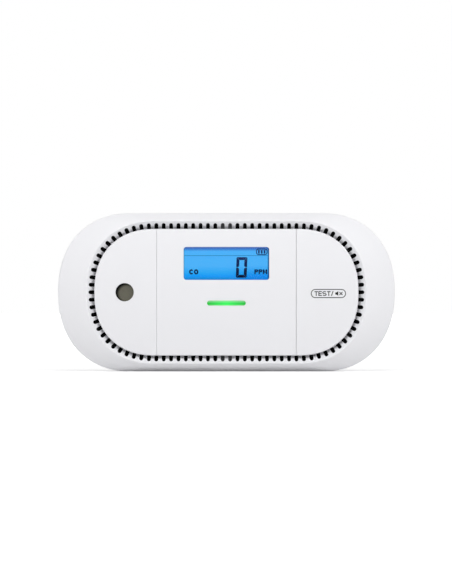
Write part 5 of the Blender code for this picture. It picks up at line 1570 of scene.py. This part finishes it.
class ALARM_OT_display(bpy.types.Operator):
    """Light the display and draw its segments, and add the clear lens in front of it"""

    bl_idname = "alarm.display"
    bl_label = "Display"

    def execute(self, context):
        self.add_lens()
        self.add_marks()
        dress(lit_display(), "lcd_glass")
        # Moulded light guide: a pale milky white, slightly wavy.
        guide = moulded("acrylic light guide milky", linear("dfe5e8"), 0.35, 0.5 * MM, 0.02 * MM)
        dress(guide, "lcd_backlight")
        dress(black_nylon(), "lcd_frame")
        dress(zebra_rubber(), "lcd_contact_strip")
        return {"FINISHED"}

    def add_lens(self):
        """The window's outline with a margin, rounded off at the front and the back."""
        panel = panel_sizes()
        edge = 0.2 * MM
        back = panel.lens_front + panel.lens_thick
        rounding = [(panel.lens_margin - edge * inset, edge * fall) for inset, fall in quarter_round(3)]
        rows = [(window_loop(margin), panel.lens_front + fall) for margin, fall in rounding]
        rows += [(window_loop(margin), back - fall) for margin, fall in rounding[::-1]]
        skin = Skin()
        skin.solid(*rows)
        skin.piece("display_window_lens", clear_acrylic(), "case", "clear_lens", "display_lens")

    def add_marks(self):
        """The dark segments, between the lens and the glass."""
        panel = panel_sizes()
        front = panel.glass_front - 0.16 * MM
        back = panel.glass_front - 0.06 * MM
        ink = display_ink("liquid crystal segment dark", "display_ink", "display_ink_high")
        faint = display_ink("liquid crystal segment faint", "display_faint", "display_faint")
        rule = box(0, 17.385 * MM, panel.window_half_length - 0.1 * MM, 0.165 * MM)
        marks = {
            "display_reading": (nought_marks(*mm(4.45, 9.98, 6.9, 16.65, 0.4)), ink),
            "display_gas_sign": (letter_marks("CO", 0.275, *mm(-17.7, -13.3, 8.44, 10.9)), ink),
            "display_unit_sign": (letter_marks("PPM", 0.25, *mm(13.3, 19.35, 8.55, 10.85)), ink),
            "display_charge_sign": (charge_marks(*mm(16.75, 19.2, 2.75, 1.55)), ink),
            "display_rule": ([[rule]], faint),
        }
        for name, (groups, finish) in marks.items():
            make_marks(groups, front, back, name, finish, "case", "display_blue")


class ALARM_OT_lamp_bar(bpy.types.Operator):
    """Build the lamp bar's light pipe with a softly domed face"""

    bl_idname = "alarm.lamp_bar"
    bl_label = "Lamp bar"

    def execute(self, context):
        fit, face, swell, dome_width = mm(0.1, 0.1, 0.3, 1.0)
        flange, front, back, end = mm(1.0, 2.3, 3.7, 10.3)
        # The face falls along a quarter ellipse, from a flat strip almost to where it would be upright.
        flat, upright = 0.12, 0.99
        rows = []
        for share in np.linspace(flat, 1, 6):
            fall = swell * (1 - math.sqrt(1 - share**2 * upright))
            rows.append((bar_loop(-fit - (1 - share) * dome_width), face + fall))
        steps = [(-fit, front), (flange, front), (flange, back), (0, back), (0, end)]
        rows += [(bar_loop(margin), depth) for margin, depth in steps]
        skin = Skin()
        skin.solid(*rows)
        skin.piece("lamp_bar_pipe", lit_lamp_bar(), "case", "lamp_bar_green", "light_pipe")
        return {"FINISHED"}


class ALARM_OT_label(bpy.types.Operator):
    """Print the border, the word and the quiet-horn sign on the test button"""

    bl_idname = "alarm.label"
    bl_label = "Button print"

    def execute(self, context):
        panel = panel_sizes()
        grey = printed_ink("ink pad printed grey", colour_of("print_grey"))
        black = printed_ink("ink pad printed black", colour_of("print_black"))
        half = panel.label_half_length
        bow = panel.label_half_height
        line = panel.print_line
        outer = rounded_box(half, 0, half, bow, bow, 12)
        inner = rounded_box(half, 0, half - line, bow - line, bow - line, 12)
        word = letter_marks("TEST/", 0.205, *mm(1.75, 10.8, -1.15, 1.12))
        cone = np.array([[0, -0.5], [0.5, -0.5], [1.45, -1.1], [1.45, 1.1], [0.5, 0.5], [0, 0.5]])
        horn = (cone + (11.6, 0)) * MM
        cross = cross_loop(*mm(14.3, 0, 1.0, 0.22), math.pi / 4)
        marks = {
            "label_border": ([[outer, inner]], grey),
            "label_word": (word, grey),
            "label_horn_sign": ([[horn]], black),
            "label_quiet_sign": ([[cross]], grey),
        }
        left_end = (panel.label_x - half, panel.label_z)
        for name, (groups, finish) in marks.items():
            moved = [[loop + left_end for loop in loops] for loops in groups]
            make_marks(moved, -panel.print_thick, 0.01 * MM, name, finish, "button", "panel_white")
        return {"FINISHED"}


class ALARM_OT_vents(bpy.types.Operator):
    """Finish the gauze over the horn, the dust screens behind the slots and their clips"""

    bl_idname = "alarm.vents"
    bl_label = "Gauze and screens"

    def execute(self, context):
        dress(gauze_with_painted_shadow(), "horn_gauze")
        dress(black_gauze(), "vent_screen_left", "vent_screen_right")
        dress(grey_abs(), "screen_clip_top", "screen_clip_bottom")
        return {"FINISHED"}


class ALARM_OT_rear(bpy.types.Operator):
    """Build the rear cover and the battery door"""

    bl_idname = "alarm.rear"
    bl_label = "Rear cover and door"

    def execute(self, context):
        finish = white_abs()
        rear_cover_skin().piece("rear_cover_shell", finish, "case", "case_white", "rear_cover")
        door_skin().piece("battery_door_lid", finish, "door", "case_white", "battery_door")
        return {"FINISHED"}


class ALARM_OT_battery(bpy.types.Operator):
    """Build the battery cell and its spring, and finish its contacts"""

    bl_idname = "alarm.battery"
    bl_label = "Battery"

    def execute(self, context):
        steel = plated_steel()
        cell_skin().piece("battery_cell_sleeved", cell_sleeve(), "case", "cell_sleeve", "battery_cell")
        spring_skin().piece("battery_spring_coil", steel, "case", "plated_steel", "battery_spring")
        dress(steel, "battery_contact_minus", "battery_contact_plus")
        return {"FINISHED"}


class ALARM_OT_screws(bpy.types.Operator):
    """Build the case screws and the board screws"""

    bl_idname = "alarm.screws"
    bl_label = "Screws"

    def execute(self, context):
        steel = plated_steel()
        case_seat = case_sizes().case_depth - 2.6 * MM
        groups = {
            "case_screw": (case_screws(), [case_seat, *mm(1.4, 18.0, 2.8, 2.2)]),
            "board_screw": (board_screws(), mm(13.9, 1.1, 6.0, 2.2, 1.6)),
        }
        for name, (places, sizes) in groups.items():
            for number, place in enumerate(places, 1):
                skin = screw_skin(*place, *sizes)
                skin.piece(f"{name}_driven_{number}", steel, "case", "plated_steel", f"{name}_{number}")
        return {"FINISHED"}


class ALARM_OT_board(bpy.types.Operator):
    """Finish the circuit board and the parts on it"""

    bl_idname = "alarm.board"
    bl_label = "Board"

    def execute(self, context):
        dress(solder_mask(), "main_board")
        dress(black_nylon(), "switch_body", "controller_chip", "gas_sensor_filter")
        dress(grey_abs(), "switch_plunger")
        dress(plated_steel(), "gas_sensor_can")
        # Pressed ferrite: a dull dark grey with coarse grains.
        ferrite = moulded("ferrite pressed grey", linear("2d2c2e"), 0.6, 0.6 * MM, 0.04 * MM, 0.8)
        dress(ferrite, "horn_coil")
        # Shrunk sleeve of the capacitor: a smooth dark blue.
        sleeve = moulded("PVC shrunk dark blue", linear("1c2744"), 0.35, 2.0 * MM, 0.03 * MM, 0.9)
        dress(sleeve, "storage_capacitor")
        for tint, code in (("red", "a8262a"), ("yellow", "c9a227"), ("green", "3aa655")):
            # Cast lamp bodies: tinted, glossy resin with a trace of cloudiness.
            resin = moulded(f"epoxy cast {tint}", linear(code), 0.2, 1.0 * MM, 0.01 * MM, 0.85, IOR=1.55)
            dress(resin, f"lamp_{tint}")
        return {"FINISHED"}


class ALARM_OT_sounder(bpy.types.Operator):
    """Finish the horn's housing, its sounding disc and its leads"""

    bl_idname = "alarm.sounder"
    bl_label = "Sounder"

    def execute(self, context):
        dress(black_nylon(), "horn_housing", "horn_cap")
        dress(grey_abs(), "horn_ring")
        # Rolled brass: warm, with a fine grain along the sheet.
        dress(rolled_metal("brass rolled", linear("c8a355"), 0.28, 0.15 * MM, 8.0), "horn_plate")
        # Fired ceramic under a silver coat: pale, dull and slightly speckled.
        ceramic = moulded("ceramic fired silvered", linear("cfccc4"), 0.45, 0.3 * MM, 0.02 * MM, 0.88)
        dress(ceramic, "horn_ceramic")
        for tint, code, mottle in (("red", "b0242c", 0.92), ("black", "19191b", 0.85)):
            # Extruded wire sleeves: smooth and slightly waxy.
            sleeve = moulded(f"PVC extruded {tint}", linear(code), 0.4, 0.8 * MM, 0.01 * MM, mottle)
            dress(sleeve, f"horn_wire_{tint}")
        return {"FINISHED"}


class ALARM_OT_stage(bpy.types.Operator):
    """Set the floor, the light and the camera"""

    bl_idname = "alarm.stage"
    bl_label = "Stage"

    def execute(self, context):
        scene = context.scene
        scene.view_settings.view_transform = "Standard"
        self.add_floor(scene)
        self.light_world(scene)
        # Lamps, with their places and sizes in metres and their power in watts
        self.add_lamp(scene, "strip", (0.0, -0.12, 0.12), (0.9, 0.04), 0.21)
        self.add_lamp(scene, "key", (0.0, -0.75, 0.93), (0.4, 0.4), 1.9)
        self.add_lamp(scene, "right", (0.8, -1.0, 0.25), (0.8, 0.8), 0.9)
        self.add_camera(scene)
        return {"FINISHED"}

    def seen_directly(self, tree):
        """1 where a ray comes from the camera, a mirror or clear glass, and 0 where it lights something."""
        rays = add_node(tree, "ShaderNodeLightPath").node.outputs
        seen = rays["Is Camera Ray"]
        for kind in ("Is Glossy Ray", "Is Transmission Ray"):
            seen = add_node(tree, "ShaderNodeMath", {0: seen, 1: rays[kind]}, operation="MAXIMUM")
        return seen

    def add_floor(self, scene):
        reach = 8.0
        data = bpy.data.meshes.new("floor")
        corners = [(x, z, 0.0) for x, z in box(0, 0, reach, reach).tolist()]
        data.from_pydata(corners, [], [(0, 1, 2, 3)])
        floor = bpy.data.objects.new("floor", data)
        scene.collection.objects.link(floor)
        # Matt paper. Where it is seen it also glows, fully away from the object and less beside it, so that
        # it is white and keeps the object's shadow. Where it throws light back it is plain paper.
        finish, tree, where = new_finish(
            "paper matt white", Base_Color=linear("f0f0f0"), Roughness=0.9, Emission_Color=WHITE
        )
        away = add_node(tree, "ShaderNodeVectorMath", {0: where}, operation="LENGTH")
        beside, clear, shaded = 0.12, 0.6, 0.35
        fade = {"Value": away, "From Min": beside, "From Max": clear, "To Min": shaded, "To Max": 1.0}
        lift = add_node(tree, "ShaderNodeMapRange", fade)
        glow = {0: self.seen_directly(tree), 1: lift}
        add_node(tree, "ShaderNodeMath", glow, feeds="Emission Strength", operation="MULTIPLY")
        data.materials.append(finish)

    def light_world(self, scene):
        """White where it is seen, and a softer even light on the object."""
        world = bpy.data.worlds.new("studio")
        scene.world = world
        world.use_nodes = True
        tree = world.node_tree
        light = tree.nodes["Background"]
        light.inputs["Color"].default_value = WHITE
        even_light = 0.58
        levels = {"Value": self.seen_directly(tree), "To Min": even_light, "To Max": 1.0}
        tree.links.new(add_node(tree, "ShaderNodeMapRange", levels), light.inputs["Strength"])

    def add_lamp(self, scene, name, place, size, power):
        """A soft lamp that faces the object; it gives light but isn't seen or mirrored itself."""
        data = bpy.data.lights.new(name, "AREA")
        data.shape = "RECTANGLE"
        data.size, data.size_y = size
        data.energy = power
        lamp = bpy.data.objects.new(name, data)
        lamp.location = place
        lamp.visible_camera = False
        lamp.visible_glossy = False
        target = Vector((0.0, 0.0, case_sizes().case_height / 2))
        lamp.rotation_euler = (target - Vector(place)).to_track_quat("-Z", "Y").to_euler()
        scene.collection.objects.link(lamp)

    def add_camera(self, scene):
        """A long lens straight in front. Its frame has a set height at the case's widest section, which
        lies in front of the middle."""
        lens = 400.0
        frame_height, widest, left, up = mm(277.6, 9.4, 0.19, 0.12)
        data = bpy.data.cameras.new("camera")
        data.lens = lens
        data.sensor_width = 36.0
        data.clip_start = 0.01
        camera = bpy.data.objects.new("camera", data)
        distance = frame_height * lens / data.sensor_width
        camera.location = (-left, -distance - widest, case_sizes().case_height / 2 + up)
        camera.rotation_euler = (math.pi / 2, 0.0, 0.0)
        scene.collection.objects.link(camera)
        scene.camera = camera


OPERATORS = (
    ALARM_OT_front_cover,
    ALARM_OT_panels,
    ALARM_OT_display,
    ALARM_OT_lamp_bar,
    ALARM_OT_label,
    ALARM_OT_vents,
    ALARM_OT_rear,
    ALARM_OT_battery,
    ALARM_OT_screws,
    ALARM_OT_board,
    ALARM_OT_sounder,
    ALARM_OT_stage,
)


class ALARM_PT_looks(bpy.types.Panel):
    """Lists the operators that build the alarm"""

    bl_idname = "ALARM_PT_looks"
    bl_label = "Alarm"
    bl_space_type = "VIEW_3D"
    bl_region_type = "UI"
    bl_category = "Alarm"

    def draw(self, context):
        for operator in OPERATORS:
            self.layout.operator(operator.bl_idname)


CLASSES = (CaseSizes, PanelSizes, AlarmColours, *OPERATORS, ALARM_PT_looks)


def register():
    for made in CLASSES:
        bpy.utils.register_class(made)
    bpy.types.Scene.alarm_case = PointerProperty(type=CaseSizes)
    bpy.types.Scene.alarm_panel = PointerProperty(type=PanelSizes)
    bpy.types.Scene.alarm_colours = PointerProperty(type=AlarmColours)


def unregister():
    del bpy.types.Scene.alarm_case
    del bpy.types.Scene.alarm_panel
    del bpy.types.Scene.alarm_colours
    for made in reversed(CLASSES):
        bpy.utils.unregister_class(made)


def main():
    register()
    bpy.ops.alarm.front_cover()
    bpy.ops.alarm.panels()
    bpy.ops.alarm.display()
    bpy.ops.alarm.lamp_bar()
    bpy.ops.alarm.label()
    bpy.ops.alarm.vents()
    bpy.ops.alarm.rear()
    bpy.ops.alarm.battery()
    bpy.ops.alarm.screws()
    bpy.ops.alarm.board()
    bpy.ops.alarm.sounder()
    bpy.ops.alarm.stage()


if __name__ == "__main__":
    main()
